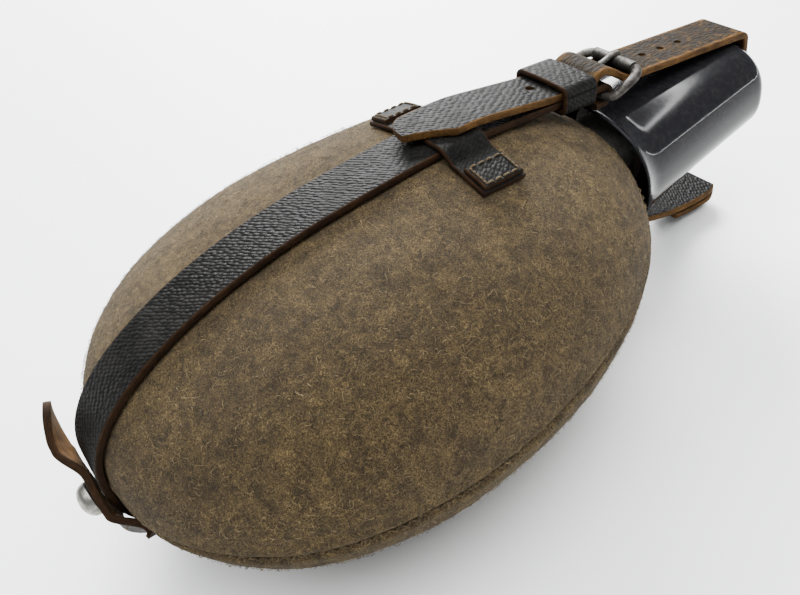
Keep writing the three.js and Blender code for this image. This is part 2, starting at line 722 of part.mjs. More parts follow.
// A hanging strap that lies along the lengthwise one and then drops towards the ground, where its end
// is folded back under itself and has rounded corners.
function carryingLoop() {
  const layers = LEATHER + 2 * GAP;
  const foldZ = LEATHER / 2 + CARRY_LIFT + layers / 2;
  const foldY = CARRY_END - (LEATHER + layers) / 2;
  const held = [0, 1, 10, 19, 28, 37].map((along) => [CARRY_FOLD + along, carryLine(CARRY_FOLD + along)]);
  const dropping = [[-33, 6], [-27, 3.9], [-21, 2.2], [-15, 1], [-9, 0.2]];
  const upper = dropping.map(([along, up]) => [foldY + along, foldZ + layers / 2 + up]);
  const lower = upper.slice(2).reverse().map(([y, z]) => [y, z - layers]);
  const fold = arc(foldY, foldZ, layers / 2, 90, -90, 8);
  const strip = ribbon([...held, ...upper, ...fold, ...lower], LEATHER, STRAP_WIDTH);
  const length = 2 * CARRY_END;
  const plan = roundedRectangle(THREE.Shape, STRAP_WIDTH, length, 6);
  const stamp = new THREE.ExtrudeGeometry(plan, { depth: SEAM_Z, bevelEnabled: false, curveSegments: 6 });
  return common(strip, stamp);
}

// ---- the canteen ----
const FELT_BROWN = 0x6f6152;
const BLACK_LEATHER = 0x2b2a2a;
const WORN_LEATHER = 0x4a3a2c;
const STEEL = 0x8d8d8b;

const canteen = new THREE.Group();
canteen.name = 'canteen';

function addNode(name, geometry, color, roughness, metalness) {
  geometry.computeVertexNormals();
  const material = new THREE.MeshStandardMaterial({ color, roughness, metalness });
  const mesh = new THREE.Mesh(geometry, material);
  mesh.name = name;
  canteen.add(mesh);
}

addNode('bottle', flask(), 0xa9aaa8, 0.45, 0.8);
addNode('felt_cover_front', feltHalf(1), FELT_BROWN, 1, 0);
addNode('felt_cover_back', feltBack(), FELT_BROWN, 1, 0);
addNode('screw_cap', screwCap(), 0x34302c, 0.5, 0);
addNode('cap_gasket', gasket(), 0x8a6d4a, 0.9, 0);
addNode('cup', cup(), 0x121214, 0.18, 0.2);
addNode('main_strap', mainStrap(), BLACK_LEATHER, 0.55, 0);
addNode('strap_end', strapEnd(), WORN_LEATHER, 0.6, 0);
addNode('strap_top', strapTop(), WORN_LEATHER, 0.6, 0);
addNode('strap_tip', strapTip(), BLACK_LEATHER, 0.55, 0);
addNode('front_loop', frontLoop(), BLACK_LEATHER, 0.55, 0);
addNode('keeper', keeper(), BLACK_LEATHER, 0.4, 0);
addNode('buckle_frame', buckleFrame(), STEEL, 0.4, 0.9);
addNode('buckle_prong', buckleProng(), STEEL, 0.4, 0.9);
addNode('tab_patch', tabPatch(), BLACK_LEATHER, 0.6, 0);
addNode('base_tab', tabFlap(), WORN_LEATHER, 0.7, 0);
addNode('stud_post', studPost(), STEEL, 0.3, 1);
addNode('stud_cap', studCap(), 0xc8c8c4, 0.25, 1);
addNode('carry_patch', carryPatch(), BLACK_LEATHER, 0.6, 0);
addNode('carrying_loop', carryingLoop(), BLACK_LEATHER, 0.6, 0);

export default canteen;
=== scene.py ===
"""Looks of a felt-covered field canteen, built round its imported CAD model.

Lengths are in millimetres until a mesh is made.  The frame is the CAD's: +Y runs from the base to the
cup, +Z is the front of the canteen, and z = 0 is the ground that it lies on.
"""

import json
import math

import bmesh
import bpy
import numpy as np
from mathutils import Matrix, Vector, kdtree, noise


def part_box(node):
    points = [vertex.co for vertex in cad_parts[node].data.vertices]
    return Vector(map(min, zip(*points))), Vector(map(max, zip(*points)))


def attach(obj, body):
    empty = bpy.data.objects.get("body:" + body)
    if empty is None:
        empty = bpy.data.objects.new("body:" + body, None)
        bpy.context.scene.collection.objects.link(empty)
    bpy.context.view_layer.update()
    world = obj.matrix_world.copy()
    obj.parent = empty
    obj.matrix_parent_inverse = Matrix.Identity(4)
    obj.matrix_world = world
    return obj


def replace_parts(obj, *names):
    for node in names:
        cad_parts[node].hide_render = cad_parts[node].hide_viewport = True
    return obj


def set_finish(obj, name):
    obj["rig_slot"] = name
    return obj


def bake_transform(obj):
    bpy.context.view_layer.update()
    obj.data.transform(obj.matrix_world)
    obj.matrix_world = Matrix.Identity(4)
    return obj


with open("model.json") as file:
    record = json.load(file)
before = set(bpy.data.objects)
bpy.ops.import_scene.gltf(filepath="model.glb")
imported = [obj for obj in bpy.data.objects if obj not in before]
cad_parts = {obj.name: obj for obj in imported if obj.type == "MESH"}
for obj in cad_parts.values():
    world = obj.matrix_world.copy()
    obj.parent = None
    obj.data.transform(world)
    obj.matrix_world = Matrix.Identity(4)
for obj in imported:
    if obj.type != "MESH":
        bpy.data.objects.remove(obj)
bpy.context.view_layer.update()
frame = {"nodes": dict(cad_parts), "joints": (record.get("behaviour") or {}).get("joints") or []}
MM = 0.001
JOINTS = {joint["name"]: joint for joint in frame["joints"]}


def corners(node):
    """Lowest and highest corner of a CAD node, in millimetres."""
    low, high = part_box(node)
    return low / MM, high / MM


def pivot(joint):
    """A point on a joint's axis, in millimetres."""
    return Vector(JOINTS[joint]["pos_m"]) / MM


# ---- sizes, most of them read from the CAD ----
felt_low, felt_high = corners("felt_cover_front")
strap_low, strap_high = corners("main_strap")
cup_low, cup_high = corners("cup")
loop_low, loop_high = corners("front_loop")
keeper_low, keeper_high = corners("keeper")
tip_low = corners("strap_tip")[0]
carry_low, carry_high = corners("carrying_loop")
patch_low = corners("carry_patch")[0]
GAP = 0.3                                     # between neighbouring pieces
FELT = 4.0
NECK_RADIUS = 12.5
HALF_WIDTH = 72.5
FRONT_DEPTH = 44.5
BACK_DEPTH = 42.5
HALF_LENGTH = -felt_low.y
COLLAR_END = felt_high.y
SEAM_Z = felt_low.z - GAP / 2
AXIS_Z = (cup_low.z + cup_high.z) / 2
HALF_STRAP = strap_high.x
LEATHER = -HALF_LENGTH - GAP - strap_low.y
LIE = GAP + LEATHER / 2                       # from a face to the middle of leather laid on it
CUP_END = cup_high.y
CUP_START = cup_low.y
CUP_MOUTH = (29.7, 21.5)                      # half width and half height of the cup at its lip,
CUP_WAIST = (27.0, 19.6)                      # where the lip's flare ends,
CUP_TOP = (20.6, 16.4)                        # and at its closed end
CUP_FLARE = 8.0
CUP_CORNER = 5.0
CUP_POWER = 2.4                               # 2 would make its cross-section an ellipse
STRAP_SLOPE = 0.18                            # how fast it rises from the cup's end to the buckle
HIGH_BEND = 2.5                               # radii of its bends at the cup's closed end
LOW_BEND = CUP_CORNER + LIE
LOW_FOLD = AXIS_Z - CUP_TOP[1] + CUP_CORNER - 0.4   # z where the lower bend ends
LOW_SPLIT = pivot("strap_open").y             # where the open strap bends down
END_Y = pivot("strap_unfold").y               # middle of the strap behind the cup
BASE_BAR = pivot("buckle_tilt")
FRONT_BAR_Y = 104.0
WIRE = 1.4                                    # half the thickness of the buckle's wire
LOOP_LEATHER = 1.7
LOOP_MIDDLE = (loop_low.y + loop_high.y) / 2
LOOP_HALF = (loop_high.y - loop_low.y) / 2
HUMP = 2.6                                    # rise of the strap's free end over the buckle's base bar
LEAVE_FRONT = loop_high.y + 2                 # where the strap leaves the felt
LEAVE_BACK = 62.0
TIP_FOLD = pivot("strap_tip_lift").y
HIGH_FOLD = pivot("strap_unfold").z + GAP
BACK_SPLIT = (LOW_FOLD + pivot("strap_unfold").z) / 2   # where the strap's lengths meet
TAIL_SPLIT = keeper_high.y - 7
HOLE_PITCH = 8.4


def smooth_step(share):
    """0 up to share 0, 1 from share 1, smooth between them."""
    share = max(0.0, min(1.0, share))
    return share * share * (3 - 2 * share)


# ---- the shape of the felted body, as in the CAD ----
def bulge(u, power, lean):
    """Share of the full size at u, which runs from -1 at the base to 1 at the shoulder's end."""
    inside = np.maximum(0.0, 1 - np.abs(u) ** power)
    return inside ** (1 / power) * (1 + lean * u)


def width_shape(u):
    return bulge(u, 2.13, -0.12)


def depth_shape(u):
    return bulge(u, 2.26, 0.07)


def soft_max(a, b):
    """The larger of two, rounded over where they are nearly the same."""
    overlap = np.maximum(0.0, 3 - np.abs(a - b))
    return np.maximum(a, b) + overlap**2 / 12


def body_ring(y, inset, neck):
    """Half width, half height and centre height of the felt's cross-section at y."""
    u = y / (HALF_LENGTH - inset)
    wide = (HALF_WIDTH - inset) * width_shape(u)
    front = (FRONT_DEPTH - inset) * depth_shape(u)
    back = (BACK_DEPTH - inset) * depth_shape(u)
    wide = np.where(y > 0, soft_max(wide, neck), wide)
    front = np.where(y > 0, soft_max(front, neck + AXIS_Z - SEAM_Z), front)
    back = np.where(y > 0, soft_max(back, neck - AXIS_Z + SEAM_Z), back)
    return wide, (front + back) / 2, SEAM_Z + (front - back) / 2


def felt_top(y):
    return SEAM_Z + FRONT_DEPTH * float(depth_shape(y / HALF_LENGTH))


def felt_bottom(y):
    return SEAM_Z - BACK_DEPTH * float(depth_shape(y / HALF_LENGTH))


def felt_front(x, y):
    """Height of the felt's front face, also away from the middle."""
    across = x / (HALF_WIDTH * float(width_shape(y / HALF_LENGTH)))
    return SEAM_Z + (felt_top(y) - SEAM_Z) * math.sqrt(1 - across**2)


def felt_base(x, z):
    """y of the felt's face at the base."""
    outside, inside = -HALF_LENGTH, -HALF_LENGTH / 2
    for _ in range(30):
        y = (outside + inside) / 2
        wide = HALF_WIDTH * float(width_shape(y / HALF_LENGTH))
        deep = FRONT_DEPTH * float(depth_shape(y / HALF_LENGTH))
        if (x / wide) ** 2 + ((z - SEAM_Z) / deep) ** 2 < 1:
            inside = y
        else:
            outside = y
    return outside


def strap_line(y):
    """Height of the strap's middle between the cup's end and the buckle."""
    return AXIS_Z + CUP_TOP[1] + 0.2 + LIE + (CUP_END - y) * STRAP_SLOPE


def front_line(y):
    """The same from the buckle to where the strap meets the felt."""
    start = felt_top(LEAVE_FRONT) + LIE
    slope = (strap_line(BASE_BAR.y) - start) / (BASE_BAR.y - LEAVE_FRONT)
    return start + (y - LEAVE_FRONT) * slope


def tail_line(y):
    """The same for the strap's end, which lies on that."""
    return front_line(y) + (GAP + LEATHER) * 1.02


def under_line(y):
    """The same from the back of the felt to the bend under the cup's end."""
    start = felt_bottom(LEAVE_BACK) - LIE
    slope = (LOW_FOLD - LOW_BEND - start) / (END_Y - LOW_BEND - LEAVE_BACK)
    return start + (y - LEAVE_BACK) * slope


def loop_line(y):
    """The same where it lies on the front loop."""
    return felt_top(y) + 3 * GAP + LEATHER + LOOP_LEATHER + LEATHER / 2 + 0.1


def carry_line(y):
    """The same for leather laid against the outside of that."""
    strap = felt_bottom(y) - LIE if y < LEAVE_BACK else under_line(y)
    return strap - (LEATHER + GAP) * 1.05


# ---- making meshes ----
class Parts:
    """Points and faces of one piece, with a texture place in millimetres at each point."""

    def __init__(self):
        self.points = []
        self.places = []
        self.faces = []
        self.slots = []

    def add(self, points, places, faces, slots):
        first = len(self.points)
        self.points += [Vector(p) for p in points]
        self.places += [Vector(p) for p in places]
        self.faces += [tuple(first + i for i in face) for face in faces]
        self.slots += slots

    def piece(self, name, body, slot, materials):
        """The finished object, which rides on a body."""
        mesh = bpy.data.meshes.new(name)
        mesh.from_pydata([p * MM for p in self.points], [], self.faces)
        for material in materials:
            mesh.materials.append(material)
        mesh.polygons.foreach_set("material_index", self.slots)
        place = mesh.attributes.new("place", "FLOAT_VECTOR", "POINT")
        place.data.foreach_set("vector", [c for p in self.places for c in p])
        tidy = bmesh.new()
        tidy.from_mesh(mesh)
        bmesh.ops.remove_doubles(tidy, verts=tidy.verts, dist=0.002 * MM)
        bmesh.ops.recalc_face_normals(tidy, faces=tidy.faces)
        tidy.to_mesh(mesh)
        tidy.free()
        mesh.shade_smooth()
        mesh.set_sharp_from_angle(angle=math.radians(50))
        obj = bpy.data.objects.new(name, mesh)
        bpy.context.scene.collection.objects.link(obj)
        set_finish(obj, slot)
        if body:
            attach(obj, body)
        return obj


def grid_faces(rows, columns, first=0, flip=False):
    faces = []
    for i in range(rows - 1):
        for j in range(columns - 1):
            a = first + i * columns + j
            face = (a, a + 1, a + columns + 1, a + columns)
            faces.append(face[::-1] if flip else face)
    return faces


def ring_faces(rings, count):
    """Faces between neighbouring rings of count points."""
    faces = []
    for first in range(0, (rings - 1) * count, count):
        for i in range(count):
            j = (i + 1) % count
            faces.append((first + i, first + j, first + count + j, first + count + i))
    return faces


def add_sheet(parts, outer, inner, places, slots=(0, 0, 0)):
    """A closed sheet between two grids of points; slots are for its outer face, inner face and edges."""
    rows, columns = len(outer), len(outer[0])
    count = rows * columns
    faces = grid_faces(rows, columns) + grid_faces(rows, columns, count, True)
    kinds = [slots[0]] * (len(faces) // 2) + [slots[1]] * (len(faces) // 2)
    rim = list(range(columns))
    rim += [i * columns + columns - 1 for i in range(1, rows)]
    rim += [(rows - 1) * columns + j for j in range(columns - 2, -1, -1)]
    rim += [i * columns for i in range(rows - 2, 0, -1)]
    for a, b in zip(rim, rim[1:] + rim[:1]):
        faces.append((b, a, a + count, b + count))
        kinds.append(slots[2])
    flat = [p for row in outer for p in row] + [p for row in inner for p in row]
    flat_places = [p for row in places for p in row]
    parts.add(flat, flat_places * 2, faces, kinds)


def strap_section(width, thickness, columns=18):
    """(across, up, kind) round a strap's cross-section: kind 0 is the grain face, 1 an edge, 2 the back."""
    corner = min(0.55, thickness * 0.35)
    half, up = width / 2 - corner, thickness / 2
    across = [half * (2 * i / columns - 1) for i in range(columns + 1)]
    turn = [math.radians(90 - 90 * i / 3) for i in range(4)]
    near = [(half + corner * math.cos(a), up - corner + corner * math.sin(a), 1) for a in turn]
    near += [(x, -z, 1) for x, z, _ in near[::-1]]
    near[-1] = (near[-1][0], near[-1][1], 2)
    far = [(-x, -z, kind) for x, z, kind in near]
    far[-1] = (far[-1][0], far[-1][1], 0)
    far = [(x, z, 1 if i < len(far) - 1 else 0) for i, (x, z, _) in enumerate(far)]
    top = [(x, up, 0) for x in across[1:-1]]
    bottom = [(-x, -up, 2) for x in across[1:-1]]
    return [far[-1], *top, *near, *bottom, *far[:-1]]


def add_sweep(parts, centres, across, normals, section, start=0.0, shape=None, closed=False):
    """A cross-section carried along a line.  shape(along) gives the shares left of its -X and +X sides."""
    count = len(section)
    along = start
    points, places, faces, kinds = [], [], [], []
    for i, centre in enumerate(centres):
        along += (centre - centres[i - 1]).length if i else 0.0
        far, near = shape(along) if shape else (1.0, 1.0)
        for x, z, _ in section:
            x *= near if x > 0 else far
            points.append(centre + across[i] * x + normals[i] * z)
            places.append((along, x, z))
    rings = len(centres)
    for i in range(rings if closed else rings - 1):
        here, there = i * count, (i + 1) % rings * count
        for j in range(count):
            k = (j + 1) % count
            faces.append((here + j, here + k, there + k, there + j))
            kinds.append(section[j][2])
    if not closed:
        faces.append(tuple(range(count))[::-1])
        faces.append(tuple((rings - 1) * count + j for j in range(count)))
        kinds += [1, 1]
    parts.add(points, places, faces, kinds)
    return along


def smooth_path(points, step):
    """Closely spaced points on a smooth curve through the ones given."""
    points = [Vector(p) for p in points]
    padded = [2 * points[0] - points[1], *points, 2 * points[-1] - points[-2]]
    result = []
    for a, b, c, d in zip(padded, padded[1:], padded[2:], padded[3:]):
        reach = (c - b).length
        before = (c - a) * (reach / max(1e-6, (c - b).length + (b - a).length))
        after = (d - b) * (reach / max(1e-6, (c - b).length + (d - c).length))
        parts = max(1, round(reach / step))
        for i in range(parts):
            t = i / parts
            result.append(
                b * (2 * t**3 - 3 * t**2 + 1)
                + before * (t**3 - 2 * t**2 + t)
                + c * (3 * t**2 - 2 * t**3)
                + after * (t**3 - t**2)
            )
    return [*result, points[-1]]


def flat_path(points, step=1.0):
    """A smooth path in the plane x = 0 through (y, z) points."""
    return smooth_path([(0, y, z) for y, z in points], step)


def directions(path, closed=False):
    """Unit tangent at each point of a path."""
    count = len(path)
    if closed:
        ends = [(path[i - 1], path[(i + 1) % count]) for i in range(count)]
    else:
        ends = [(path[max(0, i - 1)], path[min(count - 1, i + 1)]) for i in range(count)]
    return [(b - a).normalized() for a, b in ends]


def offset_path(path, distance):
    """Moves a (y, z) path to its right as it is walked."""
    moved = []
    for i, (y, z) in enumerate(path):
        y0, z0 = path[max(0, i - 1)]
        y1, z1 = path[min(len(path) - 1, i + 1)]
        reach = math.hypot(y1 - y0, z1 - z0)
        moved.append((y + (z1 - z0) / reach * distance, z - (y1 - y0) / reach * distance))
    return moved


def arc(centre_y, centre_z, radius, start, end, steps):
    turns = [math.radians(start + (end - start) * i / steps) for i in range(steps + 1)]
    return [(centre_y + radius * math.cos(a), centre_z + radius * math.sin(a)) for a in turns]


X = Vector((1, 0, 0))
SLIP = 2.2


def side_drift(place):
    """How far the strap has slipped toward -X, where it lies on the lower half of the front."""
    front = max(0.0, min(1.0, (place.z - SEAM_Z + 25) / 35))
    return SLIP * smooth_step((20 - place.y) / 70) * front


def add_strap(parts, path, width, thickness, start=0.0, shape=None, columns=18):
    """A leather strip along a path in the plane x = 0, its grain face to the left of X."""
    normals = [t.cross(X).normalized() for t in directions(path)]
    drift = [X * (0.25 * noise.noise(p * 0.035) - side_drift(p)) for p in path]
    centres = [p + d for p, d in zip(path, drift)]
    section = strap_section(width, thickness, columns)
    return add_sweep(parts, centres, [X] * len(path), normals, section, start, shape)


def filled_loop(corners, gap):
    """Points about gap apart on a closed line through the corners given."""
    points = []
    for a, b in zip(corners, corners[1:] + corners[:1]):
        steps = max(1, round((b - a).length / gap))
        points += [a.lerp(b, i / steps) for i in range(steps)]
    return points


def add_tube(parts, path, radius, sides=8, kind=0, closed=False, flatten=1.0, up=None):
    """A round wire or thread along a path; flatten below 1 makes it thinner along up."""
    path = [Vector(p) for p in path]
    tangents = directions(path, closed)
    side = up or (X if abs(tangents[0].x) < 0.9 else Vector((0, 0, 1)))
    first = []
    second = []
    for tangent in tangents:
        side = (side - tangent * side.dot(tangent)).normalized()
        first.append(side)
        second.append(tangent.cross(side))
    angles = [2 * math.pi * i / sides for i in range(sides)]
    section = [(radius * math.cos(a), radius * math.sin(a), kind) for a in angles]
    section = [(x * flatten, z, k) for x, z, k in section]
    add_sweep(parts, path, first, second, section, closed=closed)


def add_stitches(parts, points, normals, thread=0.28, cover=0.66, kind=0):
    """Saddle stitches along a row of needle holes."""
    for a, b, n in zip(points, points[1:], normals):
        a, b, n = Vector(a), Vector(b), Vector(n)
        middle, half = (a + b) / 2, (b - a) * (cover / 2)
        path = [
            middle - half - n * 0.5,
            middle - half * 0.92 + n * 0.05,
            middle - half * 0.5 + n * thread,
            middle + half * 0.5 + n * thread,
            middle + half * 0.92 + n * 0.05,
            middle + half - n * 0.5,
        ]
        add_tube(parts, path, thread, 6, kind, up=n)


def punch(obj, holes, edge_slot):
    """Cuts holes, each (place, direction, radius, slot length along Y), and keeps the texture places."""
    cutters = Parts()
    sides, reach = 16, 6
    for place, direction, radius, slot_length in holes:
        direction = Vector(direction).normalized()
        middle, along = Vector(place), direction.cross(X).normalized()
        ring = []
        for i in range(sides):
            turn = 2 * math.pi * (i + 0.5) / sides
            shift = math.copysign(slot_length / 2, math.cos(turn))
            ring.append(along * (radius * math.cos(turn) + shift) + X * (radius * math.sin(turn)))
        points = [middle + direction * end + p for end in (-reach, reach) for p in ring]
        faces = [tuple(range(sides)), tuple(range(sides, 2 * sides)), *ring_faces(2, sides)]
        cutters.add(points, points, faces, [edge_slot] * len(faces))
    cutter = cutters.piece(obj.name + "_cutter", None, obj["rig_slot"], list(obj.data.materials))
    old = kdtree.KDTree(len(obj.data.vertices))
    for v in obj.data.vertices:
        old.insert(v.co, v.index)
    old.balance()
    places = [Vector(p.vector) for p in obj.data.attributes["place"].data]
    cutting = obj.modifiers.new("holes", "BOOLEAN")
    cutting.object = cutter
    cutting.solver = "EXACT"
    cutting.operation = "DIFFERENCE"
    bpy.context.view_layer.update()
    evaluated = obj.evaluated_get(bpy.context.evaluated_depsgraph_get())
    mesh = bpy.data.meshes.new_from_object(evaluated)
    obj.modifiers.clear()
    obj.data = mesh
    bpy.data.objects.remove(cutter)
    if "place" not in mesh.attributes:
        mesh.attributes.new("place", "FLOAT_VECTOR", "POINT")
    found = [places[old.find(v.co)[1]] for v in mesh.vertices]
    mesh.attributes["place"].data.foreach_set("vector", [c for p in found for c in p])
    mesh.set_sharp_from_angle(angle=math.radians(50))


# ---- materials ----
class Shader:
    """A principled material that is being built."""

    def __init__(self, name, roughness, specular=0.5, metallic=0.0):
        self.material = bpy.data.materials.new(name)
        self.material.use_nodes = True
        self.tree = self.material.node_tree
        self.surface = self.tree.nodes["Principled BSDF"]
        values = {"Roughness": roughness, "Specular IOR Level": specular, "Metallic": metallic}
        for key, value in values.items():
            self.surface.inputs[key].default_value = value

    def node(self, kind, inputs=(), **settings):
        node = self.tree.nodes.new(kind)
        for key, value in settings.items():
            setattr(node, key, value)
        for key, value in dict(inputs).items():
            if isinstance(value, bpy.types.NodeSocket):
                self.tree.links.new(value, node.inputs[key])
            else:
                node.inputs[key].default_value = value
        return node

    def set(self, name, socket):
        self.tree.links.new(socket, self.surface.inputs[name])

    def scaled(self, vector, scale, turn=0.0):
        inputs = {"Vector": vector, "Scale": scale, "Rotation": (0, 0, turn)}
        return self.node("ShaderNodeMapping", inputs).outputs[0]

    def solid_place(self, scale=(1, 1, 1)):
        """Place in the object, in millimetres times scale."""
        place = self.node("ShaderNodeTexCoord").outputs["Object"]
        return self.scaled(place, tuple(s / MM for s in scale))

    def strip_place(self, scale=(1, 1, 1), turn=0.0):
        """Place along, across and through a strip, in millimetres, turned and then scaled."""
        place = self.node("ShaderNodeAttribute", attribute_name="place").outputs["Vector"]
        return self.scaled(self.scaled(place, (1, 1, 1), turn), scale)

    def noise(self, vector, scale, detail=3.0, roughness=0.55, distortion=0.0):
        inputs = {
            "Vector": vector,
            "Scale": scale,
            "Detail": detail,
            "Roughness": roughness,
            "Distortion": distortion,
        }
        return self.node("ShaderNodeTexNoise", inputs).outputs[0]

    def cells(self, vector, scale, randomness=1.0, smoothness=0.2):
        inputs = {"Vector": vector, "Scale": scale, "Randomness": randomness, "Smoothness": smoothness}
        return self.node("ShaderNodeTexVoronoi", inputs, feature="SMOOTH_F1").outputs["Distance"]

    def ramp(self, value, *stops):
        node = self.node("ShaderNodeValToRGB", {"Fac": value})
        elements = node.color_ramp.elements
        while len(elements) < len(stops):
            elements.new(0.5)
        for element, (place, colour) in zip(elements, stops):
            element.position = place
            colour = (colour,) * 3 if isinstance(colour, (int, float)) else colour
            element.color = (*colour, 1)
        return node.outputs[0]

    def mix(self, amount, a, b, blend="MIX"):
        inputs = {"Factor": amount, 6: a, 7: b}
        inputs = {k: (*v, 1) if isinstance(v, tuple) else v for k, v in inputs.items()}
        node = self.node("ShaderNodeMix", inputs, data_type="RGBA", blend_type=blend)
        return node.outputs[2]

    def maths(self, a, b, operation="ADD"):
        return self.node("ShaderNodeMath", {0: a, 1: b}, operation=operation).outputs[0]

    def part(self, vector, axis):
        return self.node("ShaderNodeSeparateXYZ", {"Vector": vector}).outputs[axis]

    def near_edges(self, place, scale):
        """Rises unevenly from the middle of a strip to its edges."""
        off_centre = self.node("ShaderNodeMath", {0: self.part(place, 1)}, operation="ABSOLUTE").outputs[0]
        uneven = self.maths(self.noise(place, scale, 5, 0.7), 5.0, "MULTIPLY")
        return self.maths(self.maths(off_centre, uneven), 14.0, "DIVIDE")

    def bump(self, height, depth_mm, under=None):
        inputs = {"Height": height, "Distance": depth_mm * MM, "Strength": 1.0}
        if under:
            inputs["Normal"] = under
        return self.node("ShaderNodeBump", inputs).outputs[0]


def felt_material():
    """Grey-brown wool felt: pale and dark fibres matted together, with cloudy patches."""
    felt = Shader("wool_felt", 0.95, 0.15)
    sheen = {"Sheen Weight": 0.06, "Sheen Roughness": 0.6, "Sheen Tint": (0.9, 0.8, 0.62, 1)}
    for key, value in sheen.items():
        felt.surface.inputs[key].default_value = value
    place = felt.solid_place()
    clouds = felt.noise(place, 0.045, 4, 0.6)
    patches = felt.noise(place, 0.24, 4, 0.65, 0.6)
    fibres = felt.noise(place, 1.15, 6, 0.72, 2.4)
    threads = felt.noise(felt.scaled(place, (1.7, 0.5, 1.1), 0.6), 1.3, 4, 0.7, 3.2)
    brown = felt.ramp(fibres, (0.36, (0.006, 0.004, 0.002)), (0.46, (0.03, 0.019, 0.008)),
                      (0.54, (0.074, 0.05, 0.021)), (0.66, (0.2, 0.145, 0.062)))
    shade = felt.ramp(patches, (0.34, 0.5), (0.66, 1.35))
    broad = felt.ramp(clouds, (0.3, (0.72, 0.68, 0.66)), (0.7, (1.18, 1.16, 1.05)))
    pale = felt.ramp(threads, (0.58, 0.0), (0.68, 0.8))
    mixed = felt.mix(pale, brown, (0.25, 0.185, 0.085))
    mixed = felt.mix(1.0, mixed, shade, "MULTIPLY")
    felt.set("Base Color", felt.mix(1.0, mixed, broad, "MULTIPLY"))
    height = felt.maths(fibres, felt.maths(threads, 0.6, "MULTIPLY"))
    felt.set("Normal", felt.bump(height, 0.8))
    return felt.material


def fibre_material(name, light, dark):
    """One colour of wool, uneven along each fibre."""
    wool = Shader(name, 0.8)
    uneven = wool.noise(wool.solid_place(), 0.8, 3)
    wool.set("Base Color", wool.ramp(uneven, (0.35, dark), (0.65, light)))
    wool.set("Normal", wool.bump(wool.noise(wool.solid_place(), 4.0, 2), 0.02))
    return wool.material


def pebbled_height(leather):
    """Rows of small oval bumps, and the hollows between them."""
    place = leather.strip_place((0.55, 0.92, 0.9), 0.95)
    return leather.cells(place, 1.0, 0.5, 0.25)


def grain_leather(name, black, brown, wear):
    """Black pebbled leather, rubbed brown along its edges by the share wear."""
    leather = Shader(name, 0.5, 0.03)
    place = leather.strip_place()
    bumps = pebbled_height(leather)
    patches = leather.noise(place, 0.11, 4, 0.6)
    greyer = tuple(c * 1.9 for c in black)
    base = leather.mix(leather.ramp(patches, (0.35, 0.0), (0.7, 1.0)), black, greyer)
    # painted shade: the hollows between the grain's bumps are darkened to 0.4 of the leather's colour
    hollow_shade = leather.ramp(bumps, (0.45, 0.0), (0.8, 0.7))
    base = leather.mix(hollow_shade, base, tuple(c * 0.4 for c in black))
    rubbed = leather.near_edges(place, 0.55)
    share = leather.ramp(rubbed, (0.86 - wear * 0.3, 0.0), (0.93 - wear * 0.2, 1.0))
    leather.set("Base Color", leather.mix(share, base, brown))
    leather.set("Roughness", leather.ramp(patches, (0.3, 0.44), (0.75, 0.6)))
    grain = leather.ramp(bumps, (0.1, 1.0), (0.75, 0.0))
    fine = leather.noise(place, 6.0, 3)
    leather.set("Normal", leather.bump(fine, 0.02, leather.bump(grain, 0.3)))
    return leather.material


def worn_leather():
    """Old strap end: dark brown, cracked, with tan rubbed spots and orange edges."""
    leather = Shader("worn_leather", 0.65, 0.03)
    place = leather.strip_place()
    blotches = leather.noise(place, 0.28, 6, 0.72, 0.8)
    cracks = leather.cells(leather.strip_place((0.5, 1.1, 0.8)), 0.9, 1.0, 0.1)
    dark = leather.ramp(blotches, (0.36, (0.005, 0.004, 0.003)), (0.54, (0.015, 0.01, 0.005)),
                        (0.7, (0.075, 0.04, 0.011)))
    share = leather.ramp(leather.near_edges(place, 0.4), (0.7, 0.0), (0.86, 1.0))
    leather.set("Base Color", leather.mix(share, dark, (0.13, 0.06, 0.012)))
    leather.set("Roughness", leather.ramp(blotches, (0.3, 0.55), (0.7, 0.75)))
    leather.set("Normal", leather.bump(leather.ramp(cracks, (0.1, 1.0), (0.7, 0.0)), 0.16,
                                       leather.bump(blotches, 0.25)))
    return leather.material


def cut_edge(name, dark, light):
    """The raw edge or back of thick leather, with layers of fibre along it."""
    edge = Shader(name, 0.8, 0.08)
    fibres = edge.noise(edge.strip_place((0.35, 2.2, 3.2)), 0.9, 5, 0.7, 0.7)
    patches = edge.noise(edge.strip_place(), 0.16, 3)
    colour = edge.ramp(fibres, (0.32, dark), (0.68, light))
    shade = edge.ramp(patches, (0.3, 0.55), (0.7, 1.25))
    edge.set("Base Color", edge.mix(1.0, colour, shade, "MULTIPLY"))
    edge.set("Normal", edge.bump(fibres, 0.22))
    return edge.material


def enamel_material():
    """Glossy black stove enamel with faint ripple, dust and handling marks."""
    enamel = Shader("black_enamel", 0.1, 0.08)
    place = enamel.solid_place()
    dust = enamel.noise(place, 0.5, 6, 0.75)
    ripple = enamel.noise(place, 0.13, 2)
    specks = enamel.noise(place, 2.4, 3, 0.6)
    colour = enamel.ramp(dust, (0.45, (0.009, 0.009, 0.011)), (0.8, (0.02, 0.019, 0.019)))
    chips = enamel.ramp(specks, (0.76, 0.0), (0.8, 0.5))
    enamel.set("Base Color", enamel.mix(chips, colour, (0.12, 0.11, 0.1)))
    enamel.set("Roughness", enamel.ramp(dust, (0.4, 0.09), (0.75, 0.12)))
    enamel.set("Normal", enamel.bump(ripple, 0.01, enamel.bump(specks, 0.001)))
    return enamel.material


